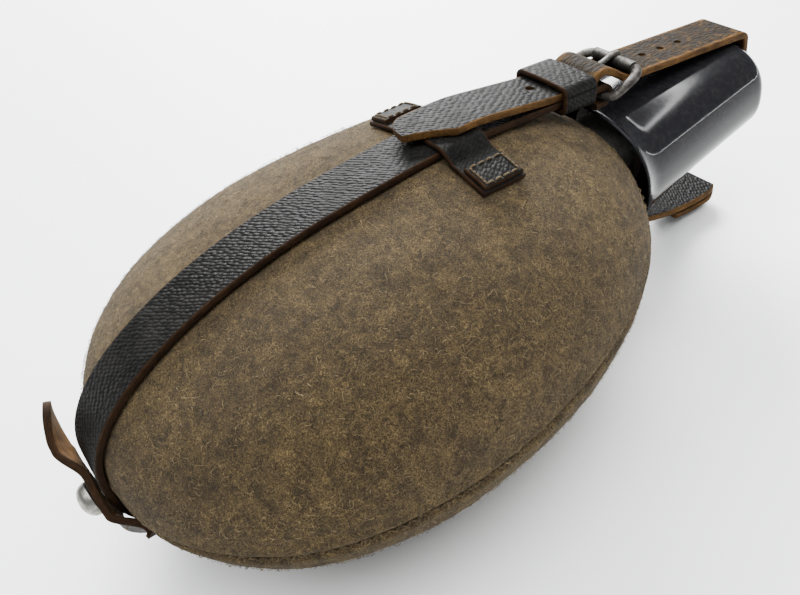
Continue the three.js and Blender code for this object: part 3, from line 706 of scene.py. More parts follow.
def steel_material(name, bright, dull, roughness):
    """Handled steel with grey stains and fine scratches."""
    steel = Shader(name, roughness, metallic=1.0)
    place = steel.solid_place()
    stains = steel.noise(place, 0.55, 5, 0.7)
    scratches = steel.noise(steel.scaled(place, (5.0, 0.4, 0.4), 0.9), 1.6, 4, 0.6)
    steel.set("Base Color", steel.ramp(stains, (0.3, dull), (0.65, bright)))
    steel.set("Roughness", steel.ramp(stains, (0.3, min(1.0, roughness + 0.25)), (0.7, roughness)))
    steel.set("Normal", steel.bump(scratches, 0.02))
    return steel.material


def aluminium_material():
    """The flask's bare aluminium, drawn and dulled."""
    return steel_material("flask_aluminium", (0.62, 0.62, 0.6), (0.4, 0.4, 0.38), 0.38)


def stopper_material():
    """Dark moulded stopper, satin, with handling wear."""
    stopper = Shader("stopper", 0.45)
    place = stopper.solid_place()
    wear = stopper.noise(place, 0.3, 5, 0.7)
    stopper.set("Base Color", stopper.ramp(wear, (0.35, (0.018, 0.014, 0.012)), (0.75, (0.07, 0.05, 0.04))))
    stopper.set("Roughness", stopper.ramp(wear, (0.3, 0.35), (0.7, 0.6)))
    stopper.set("Normal", stopper.bump(stopper.noise(place, 2.0, 3), 0.03))
    return stopper.material


def cork_material():
    """Pressed cork grains."""
    cork = Shader("cork", 0.85)
    place = cork.solid_place()
    grains = cork.cells(place, 0.9)
    cork.set("Base Color", cork.ramp(grains, (0.2, (0.45, 0.29, 0.16)), (0.75, (0.2, 0.11, 0.06))))
    cork.set("Normal", cork.bump(grains, 0.2))
    return cork.material


def thread_material():
    """Waxed linen thread, grey with dirt."""
    thread = Shader("linen_thread", 0.8, 0.1)
    twist = thread.noise(thread.solid_place((1, 3, 1)), 2.2, 3)
    thread.set("Base Color", thread.ramp(twist, (0.3, (0.03, 0.02, 0.012)), (0.7, (0.12, 0.09, 0.05))))
    thread.set("Normal", thread.bump(twist, 0.08))
    return thread.material


def ground_material():
    """Matt pale grey studio floor."""
    ground = Shader("pale_ground", 0.55)
    ground.surface.inputs["Base Color"].default_value = (0.93, 0.94, 0.935, 1)
    return ground.material


FELT_LOOK = felt_material()
PALE_WOOL = fibre_material("pale_wool", (0.24, 0.175, 0.08), (0.08, 0.054, 0.023))
DARK_WOOL = fibre_material("dark_wool", (0.035, 0.022, 0.012), (0.012, 0.008, 0.005))
BLACK = grain_leather("black_leather", (0.006, 0.0058, 0.0055), (0.035, 0.018, 0.008), 0.0)
RUBBED = grain_leather("rubbed_leather", (0.009, 0.007, 0.006), (0.075, 0.032, 0.009), 0.55)
WORN = worn_leather()
EDGE = cut_edge("cut_edge", (0.007, 0.004, 0.002), (0.032, 0.015, 0.006))
TAN_EDGE = cut_edge("tan_edge", (0.016, 0.008, 0.003), (0.11, 0.055, 0.016))
BACK = cut_edge("leather_back", (0.012, 0.006, 0.003), (0.07, 0.032, 0.011))
ENAMEL = enamel_material()
STEEL = steel_material("buckle_steel", (0.07, 0.066, 0.06), (0.016, 0.014, 0.012), 0.5)
NICKEL = steel_material("stud_nickel", (0.3, 0.29, 0.26), (0.12, 0.115, 0.1), 0.3)
THREAD = thread_material()
LEATHERS = [BLACK, EDGE, BACK]


# ---- the felt cover ----
LUMPS = ((0.5, 0.045), (0.16, 0.3), (0.1, 0.9))   # height in millimetres, and number in a millimetre


def felt_half(name, side):
    """One half of the cover, with a soft ridge at the seam and a lumpy, matted face."""
    rows, columns = 170, 170
    last = math.acos(-COLLAR_END / HALF_LENGTH)
    turns = np.linspace(0, last, rows + 1)[:, None]
    angle = side * np.pi * np.linspace(0, 1, columns + 1)[None, :]

    def skin(inset, neck):
        y = -(HALF_LENGTH - inset) * np.cos(turns) + 0 * angle
        y = np.minimum(y, COLLAR_END)
        wide, high, centre = body_ring(y, inset, neck)
        x = wide * np.cos(angle)
        z = centre + high * np.sin(angle)
        z = np.maximum(z, LEATHER + GAP) if side < 0 else np.maximum(z, SEAM_Z + 0.05)
        z = np.minimum(z, SEAM_Z - 0.05) if side < 0 else z
        return np.stack([x, y, z], axis=-1)

    outer, inner = skin(0.0, NECK_RADIUS), skin(FELT, NECK_RADIUS + GAP)
    across = np.gradient(outer, axis=1)
    along = np.gradient(outer, axis=0)
    normal = np.cross(across, along) * -side
    length = np.linalg.norm(normal, axis=-1, keepdims=True)
    normal = np.where(length > 1e-9, normal / np.maximum(length, 1e-9), np.array([0.0, -1.0, 0.0]))
    outward = np.sign(np.sum(normal * (outer - np.array([0, 0, SEAM_Z])), axis=-1, keepdims=True))
    normal = normal * outward
    from_seam = np.abs(outer[..., 2] - SEAM_Z)
    seam = 0.55 * np.exp(-(((from_seam - 2.4) / 1.5) ** 2)) - 1.0 * np.exp(-((from_seam / 0.9) ** 2))
    lumps = np.zeros_like(from_seam)
    for i in range(rows + 1):
        for j in range(columns + 1):
            p = Vector(outer[i, j])
            lumps[i, j] = sum(high * noise.noise(p * often) for high, often in LUMPS)
    pressed = outer[..., 2] < LEATHER + GAP + 0.6     # flat against the ground and the strap on it
    move = np.where(pressed, 0.0, seam + lumps - 0.1)
    outer = outer + normal * move[..., None]
    outer[0, :] = outer[0, :].mean(axis=0)
    parts = Parts()
    add_sheet(parts, outer.tolist(), inner.tolist(), outer.tolist())
    piece = parts.piece(name, "canteen", "felt", [FELT_LOOK])
    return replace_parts(piece, "felt_cover_front" if side > 0 else "felt_cover_back")


def felt_nap():
    """Loose wool fibres that stand up a little from the felt, each rooted in it at both ends."""
    chance = np.random.default_rng(5)
    count, steps, sides = 9000, 6, 3

    def skin(u, angle):
        y = HALF_LENGTH * u
        wide, high, centre = body_ring(y, 0.0, NECK_RADIUS)
        return np.stack([wide * np.cos(angle), y, centre + high * np.sin(angle)], axis=-1)

    u = chance.uniform(-0.985, 0.9, count)
    angle = chance.uniform(-0.25 * np.pi, 1.25 * np.pi, count)
    root = skin(u, angle)
    first = skin(u, angle + 0.01) - root
    second = skin(u + 0.004, angle) - root
    first /= np.linalg.norm(first, axis=-1, keepdims=True)
    normal = np.cross(second, first)
    normal /= np.linalg.norm(normal, axis=-1, keepdims=True)
    normal *= np.sign(np.sum(normal * (root - [0, 0, SEAM_Z]), axis=-1, keepdims=True))
    second = np.cross(normal, first)
    under_strap = np.abs(root[:, 0]) < HALF_STRAP + 1.5
    in_width = np.abs(root[:, 0]) < loop_high.x + 1
    in_length = np.abs(root[:, 1] - LOOP_MIDDLE) < LOOP_HALF + 1.5
    under_loop = in_width & in_length & (root[:, 2] > SEAM_Z)
    near_ground = root[:, 2] < LEATHER + 3
    keep = ~under_strap & ~under_loop & ~near_ground
    root, first, second, normal = (a[keep] for a in (root, first, second, normal))
    count = len(root)
    heading = chance.uniform(0, 2 * np.pi, count)
    curl = chance.normal(0, 0.45, count)
    # all in millimetres
    length = chance.uniform(1.0, 3.2, count)
    height = chance.uniform(0.2, 0.6, count)
    radius = chance.uniform(0.035, 0.06, count)
    place = root.copy()
    rings = []
    for i in range(steps):
        share = i / (steps - 1)
        ahead = first * np.cos(heading)[:, None] + second * np.sin(heading)[:, None]
        side = np.cross(normal, ahead)
        lift = -0.6 + (height + 0.6) * math.sin(math.pi * share) ** 0.6
        centre = place + normal * lift[:, None]
        for j in range(sides):
            turn = 2 * math.pi * j / sides
            rings.append(centre + (side * math.cos(turn) + normal * math.sin(turn)) * radius[:, None])
        place = place + ahead * (length / (steps - 1))[:, None]
        heading = heading + curl
    points = np.stack(rings, axis=1).reshape(-1, 3)
    faces = []
    kinds = []
    shade = chance.integers(0, 3, count)
    for n in range(count):
        base = n * steps * sides
        for i in range(steps - 1):
            for j in range(sides):
                k = (j + 1) % sides
                a, b = base + i * sides, base + (i + 1) * sides
                faces.append((a + j, a + k, b + k, b + j))
        faces.append((base, base + 2, base + 1))
        last = base + (steps - 1) * sides
        faces.append((last, last + 1, last + 2))
        kinds += [int(shade[n] == 0)] * (sides * (steps - 1) + 2)
    parts = Parts()
    parts.add(points.tolist(), points.tolist(), faces, kinds)
    return parts.piece("felt_nap", "canteen", "felt", [PALE_WOOL, DARK_WOOL])


def seam_stitches():
    """Small sunken stitches that close the two halves along the rim."""
    parts = Parts()
    for side in (1, -1):
        count = 150
        last = math.acos(-(COLLAR_END - 6) / HALF_LENGTH)
        rim = []
        for i in range(4, count):
            y = -HALF_LENGTH * math.cos(last * i / count)
            wide = float(body_ring(np.array(y), 0.35, NECK_RADIUS)[0])
            rim.append(Vector((side * wide, y, SEAM_Z + 0.9 * (i % 2 * 2 - 1))))
        outward = [Vector((p.x, p.y * 0.5, 0)).normalized() for p in rim]
        add_stitches(parts, rim, outward, 0.16, 0.95)
    return parts.piece("seam_stitches", "canteen", "felt", [THREAD])


# ---- the lengthwise strap ----
def laid_strap_path():
    """Middle of the strap from the buckle, down the front, round the base and up the back, as (y, z)."""
    fold_radius = WIRE + 0.2 + LEATHER / 2
    fold = arc(BASE_BAR.y, BASE_BAR.z, fold_radius, -90, 80, 8)
    hem = (BASE_BAR.y - 3.5, BASE_BAR.z - fold_radius + 0.3)
    last = math.acos(-COLLAR_END / HALF_LENGTH)
    stations = [-HALF_LENGTH * math.cos(last * i / 60) for i in range(61)]
    down = [(y, felt_top(y)) for y in reversed(stations) if y < LEAVE_FRONT - 4]
    back = [(y, felt_bottom(y)) for y in stations[1:] if y < LEAVE_BACK - 4]
    felt = [(LEAVE_FRONT, felt_top(LEAVE_FRONT)), *down, *back, (LEAVE_BACK, felt_bottom(LEAVE_BACK))]
    laid = [(y, max(z, LEATHER / 2)) for y, z in offset_path(felt, LIE)]
    return [hem, *fold, *laid, (LEAVE_BACK + 20, under_line(LEAVE_BACK + 20))]


def end_bend_path():
    """On from there, round the bend under the cup's end."""
    bend = arc(END_Y - LOW_BEND, LOW_FOLD, LOW_BEND, -74, 0, 8)
    return [(y, under_line(y)) for y in (LOW_SPLIT - 6, LOW_SPLIT, LOW_SPLIT + 6)] + bend


def over_cup_path():
    """Round the upper bend, over the cup, and over the buckle's base bar into the keeper, as (y, z)."""
    shoulder = arc(END_Y - HIGH_BEND, HIGH_FOLD, HIGH_BEND, 0, 80, 6)
    keeper_end = keeper_high.y
    return [
        *shoulder,
        (CUP_END - 16, strap_line(CUP_END - 16) - 0.2),
        (CUP_END - 34, strap_line(CUP_END - 34) - 0.1),
        (FRONT_BAR_Y + 3, strap_line(FRONT_BAR_Y + 3)),
        (FRONT_BAR_Y - 2.2, strap_line(FRONT_BAR_Y - 2.2) - 0.2),
        (FRONT_BAR_Y - 5.0, strap_line(FRONT_BAR_Y - 5) + 1.2),
        (BASE_BAR.y + 4, tail_line(BASE_BAR.y + 4) + HUMP - 1),
        (BASE_BAR.y + 1, tail_line(BASE_BAR.y + 1) + HUMP),
        (BASE_BAR.y - 2, tail_line(BASE_BAR.y - 2) + HUMP - 0.8),
        (keeper_end, tail_line(keeper_end) + 0.2),
        (TAIL_SPLIT, tail_line(TAIL_SPLIT)),
    ]


def strap_round_body():
    """From the buckle round the canteen to near where the open strap bends; gives its length."""
    parts = Parts()
    last = (LOW_SPLIT - 6, under_line(LOW_SPLIT - 6))
    path = flat_path([*laid_strap_path(), last], 0.9)
    along = add_strap(parts, path, 2 * HALF_STRAP, LEATHER)
    strap = parts.piece("strap_round_body", "canteen", "black_leather", LEATHERS)
    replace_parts(strap, "main_strap")
    punch(strap, [(BASE_BAR, (0, 0, 1), 2.1, 6.0)], 1)
    return along


def strap_low_bend(along):
    """On from there, to the middle of the cup's closed end."""
    parts = Parts()
    path = flat_path([*end_bend_path(), (END_Y, BACK_SPLIT)], 0.7)
    along = add_strap(parts, path, 2 * HALF_STRAP, LEATHER, along)
    strap = parts.piece("strap_low_bend", None, "black_leather", LEATHERS)
    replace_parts(strap, "strap_end")
    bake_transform(strap)
    return along


def strap_over_cup(along):
    """The worn length over the cup, with a row of buckle holes."""
    parts = Parts()
    path = flat_path([(END_Y, BACK_SPLIT), *over_cup_path()], 0.6)
    along = add_strap(parts, path, 2 * HALF_STRAP, LEATHER, along)
    strap = parts.piece("strap_over_cup", None, "worn_leather", [WORN, TAN_EDGE, BACK])
    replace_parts(strap, "strap_top")
    holes = []
    for i in range(4):
        y = FRONT_BAR_Y + 4 + i * HOLE_PITCH
        holes.append(((0, y, strap_line(y)), (0, STRAP_SLOPE, 1), 1.25, 0.0))
    slot_y = BASE_BAR.y + 7
    holes.append(((0, slot_y, strap_line(slot_y)), (0, 0, 1), 1.9, 5.0))
    punch(strap, holes, 1)
    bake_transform(strap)
    return along


def strap_tail(along):
    """The free end, through the keeper and over the front loop."""
    parts = Parts()
    path = flat_path([
        (TAIL_SPLIT, tail_line(TAIL_SPLIT)),
        (keeper_low.y - 0.5, tail_line(keeper_low.y - 0.5)),
        (TIP_FOLD, pivot("strap_tip_lift").z),
        (loop_high.y + 1.5, loop_line(loop_high.y)),
        (LOOP_MIDDLE, loop_line(LOOP_MIDDLE) + 0.1),
        (tip_low.y + 3, loop_line(loop_low.y) + 0.3),
        (tip_low.y, loop_line(loop_low.y) + 0.4),
    ], 0.5)
    end = along + sum((b - a).length for a, b in zip(path, path[1:]))

    def point(s):
        """The tip is cut askew: a long straight cut on the +X side and a short rounded one opposite."""
        left = end - s
        cut = min(1.0, max(0.0, (left + 1.2) / 14.5))
        near = cut - 0.06 * math.sin(math.pi * cut)
        far = 0.2 + 0.8 * math.sqrt(max(0.0, 1 - (1 - min(1.0, left / 6)) ** 2))
        return (far, max(0.02, near))

    add_strap(parts, path, 2 * HALF_STRAP, LEATHER, along, point)
    strap = parts.piece("strap_tail", None, "worn_leather", [BLACK, TAN_EDGE, BACK])
    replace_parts(strap, "strap_tip")
    hole_y = keeper_low.y - 3
    punch(strap, [((0, hole_y, tail_line(hole_y)), (0, 0, 1), 1.5, 0.0)], 1)
    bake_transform(strap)


def front_loop_band():
    """The band over the strap, and down to the felt on both sides; gives its line, normals and slope."""
    reach = loop_high.x

    def height(x):
        over = felt_top(LOOP_MIDDLE) + 2 * GAP + LEATHER + 0.05
        on_felt = felt_front(x, LOOP_MIDDLE) + GAP
        return over + (on_felt - over) * smooth_step((abs(x) - HALF_STRAP - 0.5) / 5.5)

    xs = [reach * (i / 40 - 1) for i in range(81)]
    slope = Vector((0, 1, (felt_top(loop_high.y) - felt_top(loop_low.y)) / (2 * LOOP_HALF))).normalized()
    path = [Vector((x, LOOP_MIDDLE, height(x) + LOOP_LEATHER / 2)) for x in xs]
    normals = [slope.cross(t).normalized() * -1 for t in directions(path)]
    normals = [n if n.z > 0 else -n for n in normals]
    parts = Parts()
    section = strap_section(2 * LOOP_HALF, LOOP_LEATHER, 14)
    add_sweep(parts, path, [slope] * len(path), normals, section)
    band = parts.piece("front_loop_band", "canteen", "black_leather", LEATHERS)
    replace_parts(band, "front_loop")
    return path, normals, slope


def front_loop_ends(path, normals, slope):
    """The doubled ends, each with a box of stitches."""
    box_start = 18.5                          # x where the doubled, sewn end begins
    box_thickness = 1.5
    inset = LOOP_HALF - 1.9                        # half length of the box of stitches
    ends = Parts()
    threads = Parts()
    for side in (1, -1):
        near = [(p, n) for p, n in zip(path, normals) if box_start < p.x * side < loop_high.x - 0.4]
        lifted = [p + n * ((LOOP_LEATHER + box_thickness) / 2) for p, n in near]
        section = strap_section(2 * LOOP_HALF - 1.4, box_thickness, 10)
        add_sweep(ends, lifted, [slope] * len(near), [n for _, n in near], section)
        rim = []
        order = list(range(1, len(near) - 1, 2))
        for k in order:
            rim.append((lifted[k] + slope * inset, near[k][1]))
        for share in (0.5, 0.0, -0.5):
            rim.append((lifted[order[-1]] + slope * inset * share, near[order[-1]][1]))
        for k in reversed(order):
            rim.append((lifted[k] - slope * inset, near[k][1]))
        for share in (-0.5, 0.0, 0.5, 1.0):
            rim.append((lifted[order[0]] + slope * inset * share, near[order[0]][1]))
        points = [p + n * 0.72 for p, n in rim]
        add_stitches(threads, points, [n for _, n in rim], 0.3, 0.7)
    ends.piece("front_loop_ends", "canteen", "black_leather", LEATHERS)
    threads.piece("front_loop_stitches", "canteen", "black_leather", [THREAD])


def keeper_piece():
    """The sliding leather band next to the buckle."""
    length = 13.0
    middle_y = (keeper_low.y + keeper_high.y) / 2
    slope = front_line(1) - front_line(0)
    down = Vector((0, 1, slope)).normalized()
    up = X.cross(down).normalized()
    centre = Vector((0, middle_y, front_line(middle_y) + (GAP + LEATHER) / 2))
    wall = 1.7
    half_x = keeper_high.x - wall / 2
    half_z = LEATHER + 0.5 + wall / 2
    corner = 1.6
    ring = []
    for quarter, (cx, cz) in enumerate([(1, 1), (-1, 1), (-1, -1), (1, -1)]):
        for i in range(7):
            a = math.radians(90 * quarter + 90 * i / 6)
            x = cx * (half_x - corner) + corner * math.cos(a)
            z = cz * (half_z - corner) + corner * math.sin(a)
            ring.append(Vector((x, z)))
    path = []
    for x, z in filled_loop(ring, 0.7):
        crown = 0.35 * math.cos(math.pi * min(1.0, abs(x) / half_x) / 2) if z > 0 else 0
        path.append(centre + X * x + up * (z + crown))
    normals = [t.cross(down).normalized() for t in directions(path, True)]
    normals = [n if n.dot(p - centre) > 0 else -n for n, p in zip(normals, path)]
    parts = Parts()
    add_sweep(parts, path, [down] * len(path), normals, strap_section(length, wall, 12), closed=True)
    piece = parts.piece("keeper_band", "keeper", "black_leather", LEATHERS)
    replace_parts(piece, "keeper")


def buckle_pieces():
    """Flattened steel wire frame, its prong, and the two bars' ends."""
    reach = HALF_STRAP + 1.4 + WIRE
    bar_z = strap_line(FRONT_BAR_Y) + LIE + WIRE
    right_side = [
        (reach - 1.2, BASE_BAR.y, BASE_BAR.z),
        (reach, BASE_BAR.y + 1.6, BASE_BAR.z + 0.3),
        (reach, FRONT_BAR_Y - 3.4, bar_z - 0.7),
        (reach - 1.2, FRONT_BAR_Y - 0.8, bar_z - 0.2),
        (reach - 3.6, FRONT_BAR_Y, bar_z),
    ]
    loop = right_side + [(-x, y, z) for x, y, z in reversed(right_side)]
    dense = filled_loop([Vector(p) for p in loop], 1.2)
    for _ in range(2):
        dense = [(dense[i - 1] + dense[i] * 2 + dense[(i + 1) % len(dense)]) / 4 for i in range(len(dense))]
    parts = Parts()
    add_tube(parts, dense, WIRE * 1.25, 16, closed=True, flatten=0.72, up=Vector((0, 0, 1)))
    roller = [Vector((x, FRONT_BAR_Y, bar_z)) for x in np.linspace(-reach + 3.8, reach - 3.8, 12)]
    add_tube(parts, roller, WIRE + 0.55, 20)
    ring = parts.piece("buckle_ring", "buckle", "buckle", [STEEL])
    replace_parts(ring, "buckle_frame")

    parts = Parts()
    eye = WIRE + 0.95
    turns = [math.radians(60 - 330 * i / 20) for i in range(21)]
    curl = [BASE_BAR + Vector((0, math.cos(a), math.sin(a))) * eye for a in reversed(turns)]
    tip_z = bar_z + WIRE + 0.75
    tongue = smooth_path([
        curl[-1],
        BASE_BAR + Vector((0, 5.0, 4.2)),
        Vector((0, FRONT_BAR_Y - 4, tip_z - 0.5)),
        Vector((0, FRONT_BAR_Y - 0.5, tip_z + 0.1)),
        Vector((0, FRONT_BAR_Y + 1.8, tip_z - 0.4)),
    ], 0.6)
    add_tube(parts, curl[:-1] + tongue, 1.2, 12, flatten=0.6, up=X.cross(Vector((0, 1, 0))))
    prong = parts.piece("buckle_tongue", "prong", "buckle", [STEEL])
    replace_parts(prong, "buckle_prong")


# ---- the tab across the base ----
TAB_TILT = 0.68
TAB_TWIST = 0.6
TAB_FOLD = 9.5
TAB_SEWN = 20.5
TAB_TIP = -27.0
TAB_HALF = 6.0
STUD_PLACE = 3.0


def tab_point(along, aside):
    """A point on the tab's inner face: on the strap, then down to the felt, or curled open at its tip."""
    up = Vector((math.sin(TAB_TILT), 0, math.cos(TAB_TILT)))
    point = Vector((math.cos(TAB_TILT), 0, -math.sin(TAB_TILT))) * along + up * aside
    point.z += SEAM_Z
    edge = HALF_STRAP + 1.2
    point.y = felt_base(0, point.z) - 2 * GAP - LEATHER - 0.2
    if point.x < -edge:
        point.y += (point.x + edge) * 0.12
    elif point.x > edge - 2:
        onto = smooth_step((point.x - edge + 2) / 7)
        point.y += (felt_base(point.x, point.z) - GAP - point.y) * onto
    curl = TAB_TWIST * smooth_step((-along - 2) / 14)
    from_edge = aside + TAB_HALF
    return point + up * (from_edge * (math.cos(curl) - 1)) - Vector((0, from_edge * math.sin(curl), 0))


def tab_piece():
    """The strip itself, bent where the tab opens, and the two rows of stitches that hold it."""
    places = [TAB_SEWN - 0.6 * i for i in range(int((TAB_SEWN - TAB_TIP) / 0.6) + 1)]
    path = []
    normals = []
    across = []
    for along in places:
        side = (tab_point(along, 1) - tab_point(along, -1)).normalized()
        ahead = (tab_point(along - 0.5, 0) - tab_point(along + 0.5, 0)).normalized()
        normal = ahead.cross(side).normalized()
        normal = normal if normal.y < 0 else -normal
        across.append(side)
        normals.append(normal)
        path.append(tab_point(along, 0) + normal * (LEATHER / 2))
    length = sum((b - a).length for a, b in zip(path, path[1:]))

    def shape(s):
        left = max(0.0, min(1.0, (length - s) / 6.0))
        wide = max(0.05, 1 - (1 - left) ** 2.2) ** 0.5
        return (wide, wide)

    parts = Parts()
    section = strap_section(2 * TAB_HALF, LEATHER, 12)
    add_sweep(parts, path, across, normals, section, shape=shape)
    tab = parts.piece("base_tab_strip", None, "worn_leather", [RUBBED, EDGE, TAN_EDGE])
    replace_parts(tab, "base_tab", "tab_patch")
    start, end = tab_point(TAB_FOLD + 2.5, 0), tab_point(TAB_FOLD - 2.5, 0)
    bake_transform(tab)

    threads = Parts()
    for along in (TAB_FOLD + 4.5, TAB_SEWN - 1.4):
        side = tab_point(along, 1) - tab_point(along, -1)
        normal = (tab_point(along + 1, 0) - tab_point(along - 1, 0)).cross(side).normalized()
        normal = normal if normal.y < 0 else -normal
        points = [tab_point(along, aside) + normal * LEATHER for aside in (-4.4, -2.2, 0, 2.2, 4.4)]
        add_stitches(threads, points, [normal] * 5, 0.3, 0.7)
    threads.piece("base_tab_stitches", "canteen", "worn_leather", [THREAD])


def turned(name, body, profile, node, material):
    """A round metal piece on the tab's stud axis, from (radius, height) points."""
    side = tab_point(STUD_PLACE, 1) - tab_point(STUD_PLACE, -1)
    ahead = tab_point(STUD_PLACE + 1.5, 0) - tab_point(STUD_PLACE - 1.5, 0)
    axis = ahead.cross(side).normalized()
    axis = axis if axis.y < 0 else -axis
    side = side.normalized()
    other = axis.cross(side)
    foot = tab_point(STUD_PLACE, 0)
    count = 48
    points = []
    for radius, height in profile:
        for i in range(count):
            a = 2 * math.pi * i / count
            out = side * math.cos(a) + other * math.sin(a)
            points.append(foot + axis * height + out * radius)
    faces = ring_faces(len(profile), count)
    parts = Parts()
    parts.add(points, points, faces, [0] * len(faces))
    piece = parts.piece(name, body, "stud", [material])
    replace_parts(piece, node)


def stud_pieces():
    """The domed cap, which goes with the tab, and the post under it."""
    base = LEATHER + GAP
    socket = [(0, 1.4), (2.5, 1.4), (2.5, 0.1)]
    brim = [(4.9, 0), (5.2, 0.2), (5.2, 0.7)]
    crown = [(5.1 * math.cos(a), 0.9 + 3.5 * math.sin(a)) for a in np.linspace(0.05, math.pi / 2, 12)]
    crown[-1] = (0, crown[-1][1])
    dome = [(radius, base + height) for radius, height in socket + brim + crown]
    turned("stud_dome", "base_tab", dome, "stud_cap", NICKEL)
    top = LEATHER + 1.2
    post = [(0, 0), (1.7, 0), (1.7, top - 1.2), (1.4, top), (0, top)]
    turned("stud_pin", "canteen", post, "stud_post", NICKEL)


# ---- the hanging strap at the back ----
def carrying_piece():
    """One strip: held against the lengthwise strap, dropping to the ground, folded back under itself."""
    layers = LEATHER + 2 * GAP
    fold_z = carry_low.z + LEATHER / 2 + layers / 2
    fold_y = carry_high.y - (LEATHER + layers) / 2
    start = patch_low.y + 0.4
    held = [(y, carry_line(y)) for y in (start, start + 5, start + 10, 70, 80, 90, 98, 105)]
    drop = [(-33, 6.0), (-27, 3.9), (-21, 2.2), (-15, 1.0), (-9, 0.2)]
    upper = [(fold_y + along, fold_z + layers / 2 + up) for along, up in drop]
    lower = [(y, z - layers) for y, z in reversed(upper[2:])]
    fold = arc(fold_y, fold_z, layers / 2, 90, -90, 10)
    path = flat_path([*held, *upper, *fold, *lower], 0.6)
    parts = Parts()

    def rounded(s):
        """Narrower at the fold, so that its corners are round."""
        y = min(spots, key=lambda spot: abs(spot[0] - s))[1]
        share = max(0.0, 1 - (carry_high.y - y) / 7)
        wide = 1 - 0.65 * (1 - math.sqrt(max(0.0, 1 - share**2)))
        return (wide, wide)

    spots = [(0.0, path[0].y)]
    for a, b in zip(path, path[1:]):
        spots.append((spots[-1][0] + (b - a).length, b.y))
    add_strap(parts, path, 2 * HALF_STRAP, LEATHER, shape=rounded)
    strip = parts.piece("carrying_strip", None, "black_leather", [BLACK, TAN_EDGE, BLACK])
    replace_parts(strip, "carrying_loop", "carry_patch")
    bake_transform(strip)


# ---- the cup, the flask and its stopper ----
def cup_size(y):
    """Half width and half height of the cup at y."""
    flare_end = CUP_START + CUP_FLARE
    along = (y - flare_end) / (CUP_END - flare_end)
    flare = max(0.0, (flare_end - y) / CUP_FLARE) ** 2
    return [w + (t - w) * along + (m - w) * flare for m, w, t in zip(CUP_MOUTH, CUP_WAIST, CUP_TOP)]


def cup_piece():
    """The enamelled cup: flared mouth with a rolled lip, straight sides, rounded closed end."""
    wall = 0.8
    lip_round = 0.9                           # depth of the rolled lip, along Y
    lip_out = 0.35                            # how far it stands out

    def side(inset, order):
        """(y, half width, half height) of rings from the closed end to the lip."""
        rows = []
        corner = CUP_CORNER - inset
        bend = CUP_END - CUP_CORNER
        for share in (0.0, 0.35, 0.7, 0.92):
            wide, high = cup_size(bend)
            rows.append((bend + corner, (wide - CUP_CORNER) * share, (high - CUP_CORNER) * share))
        for i in range(9):
            a = math.pi / 2 * i / 8
            y = bend + corner * math.cos(a)
            pull = inset + corner * (1 - math.sin(a))
            wide, high = cup_size(min(y, CUP_END))
            rows.append((y, wide - pull, high - pull))
        lip = CUP_START + lip_round
        steps = 44
        for i in range(1, steps + 1):
            y = bend + (lip - bend) * i / steps
            wide, high = cup_size(y)
            rows.append((y, wide - inset, high - inset))
        return rows[::order]

    outside, inside = side(0.0, 1), side(wall, -1)
    lip_wide, lip_high = outside[-1][1:]
    lip = []
    for i in range(1, 8):
        a = math.pi * i / 8
        out = lip_out - (wall + lip_out) * (1 - math.cos(a)) / 2
        lip.append((outside[-1][0] - lip_round * math.sin(a), lip_wide + out, lip_high + out))
    profile = [*outside, *lip, *inside]
    count = 128
    points = []
    bend = 2 / CUP_POWER
    for y, wide, high in profile:
        for i in range(count):
            a = 2 * math.pi * i / count
            c = math.copysign(abs(math.cos(a)) ** bend, math.cos(a))
            s = math.copysign(abs(math.sin(a)) ** bend, math.sin(a))
            points.append((wide * c, y, AXIS_Z + high * s))
    faces = ring_faces(len(profile), count)
    parts = Parts()
    parts.add(points, points, faces, [0] * len(faces))
    piece = parts.piece("enamel_cup", "cup", "cup", [ENAMEL])
    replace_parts(piece, "cup")


def dress_node(name, material):
    """Gives a CAD node that stays in view its material and softened edges."""
    obj = frame["nodes"][name]
    obj.data.materials.clear()
    obj.data.materials.append(material)
    soft = obj.modifiers.new("softened_edges", "BEVEL")
    soft.width = 0.35 * MM
    soft.segments = 2
    soft.limit_method = "ANGLE"
    soft.angle_limit = math.radians(40)
    obj.data.shade_smooth()
    obj.data.set_sharp_from_angle(angle=math.radians(35))


# ---- ground, light and camera ----
def ground():
    mesh = bpy.data.meshes.new("ground")
    reach = 3.0
    mesh.from_pydata([(-reach, -reach, 0), (reach, -reach, 0), (reach, reach, 0), (-reach, reach, 0)], [],
                     [(0, 1, 2, 3)])
    mesh.materials.append(ground_material())
    obj = bpy.data.objects.new("ground", mesh)
    bpy.context.scene.collection.objects.link(obj)


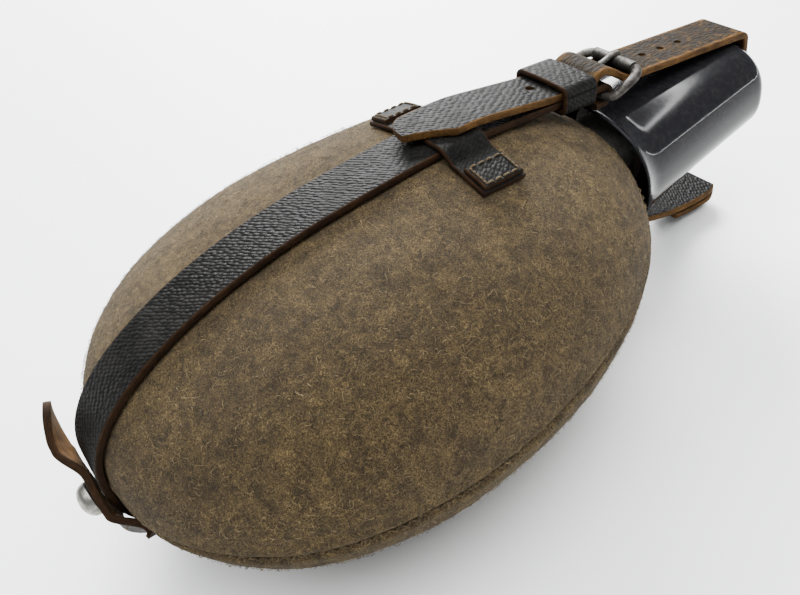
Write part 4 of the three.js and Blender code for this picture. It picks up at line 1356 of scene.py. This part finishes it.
def lamp(name, place, target, size, power, tint=(1, 1, 1)):
    light = bpy.data.lights.new(name, "AREA")
    light.shape = "RECTANGLE"
    light.size, light.size_y = size
    light.energy = power
    light.color = tint
    obj = bpy.data.objects.new(name, light)
    obj.location = place
    obj.rotation_euler = (Vector(target) - Vector(place)).to_track_quat("-Z", "Y").to_euler()
    bpy.context.scene.collection.objects.link(obj)


def lights():
    world = bpy.data.worlds.new("studio")
    world.use_nodes = True
    world.node_tree.nodes["Background"].inputs[0].default_value = (0.93, 0.96, 1.0, 1)
    world.node_tree.nodes["Background"].inputs[1].default_value = 0.42
    bpy.context.scene.world = world
    middle = (0, 0.03, 0.05)
    lamp("key", (-1.5, 0.9, 0.95), middle, (1.1, 0.9), 190)
    lamp("top", (0.1, -0.1, 1.6), middle, (1.8, 1.8), 70)
    lamp("high_strip", (0.0, 1.3, 1.15), middle, (1.6, 0.03), 14)
    lamp("low_strip", (1.0, 1.3, 0.08), middle, (1.6, 0.02), 8)


def camera():
    """A handheld view from beside and above, tilted a little; the lens is for the default 36 mm sensor."""
    azimuth, elevation, roll = math.radians(66.8), math.radians(42.8), math.radians(-16.2)
    distance = 267.7
    back = Vector((
        math.sin(azimuth) * math.cos(elevation),
        -math.cos(azimuth) * math.cos(elevation),
        math.sin(elevation),
    ))
    right = Vector((math.cos(azimuth), math.sin(azimuth), 0))
    up = back.cross(right)
    side = right * math.cos(roll) + up * math.sin(roll)
    rise = up * math.cos(roll) - right * math.sin(roll)
    place = (Vector((0, 0, SEAM_Z)) + back * distance) * MM
    data = bpy.data.cameras.new("camera")
    data.lens = 38.07
    data.shift_x = 0.0292
    data.shift_y = 0.0088
    data.clip_start = 0.01
    obj = bpy.data.objects.new("camera", data)
    turn = Matrix((side, rise, back)).transposed().to_4x4()
    obj.matrix_world = Matrix.Translation(place) @ turn
    bpy.context.scene.collection.objects.link(obj)
    bpy.context.scene.camera = obj


camera()
ground()
lights()
felt_half("felt_front", 1)
felt_half("felt_back", -1)
felt_nap()
seam_stitches()
strap_tail(strap_over_cup(strap_low_bend(strap_round_body())))
front_loop_ends(*front_loop_band())
keeper_piece()
buckle_pieces()
tab_piece()
stud_pieces()
carrying_piece()
cup_piece()
dress_node("bottle", aluminium_material())
dress_node("screw_cap", stopper_material())
dress_node("cap_gasket", cork_material())
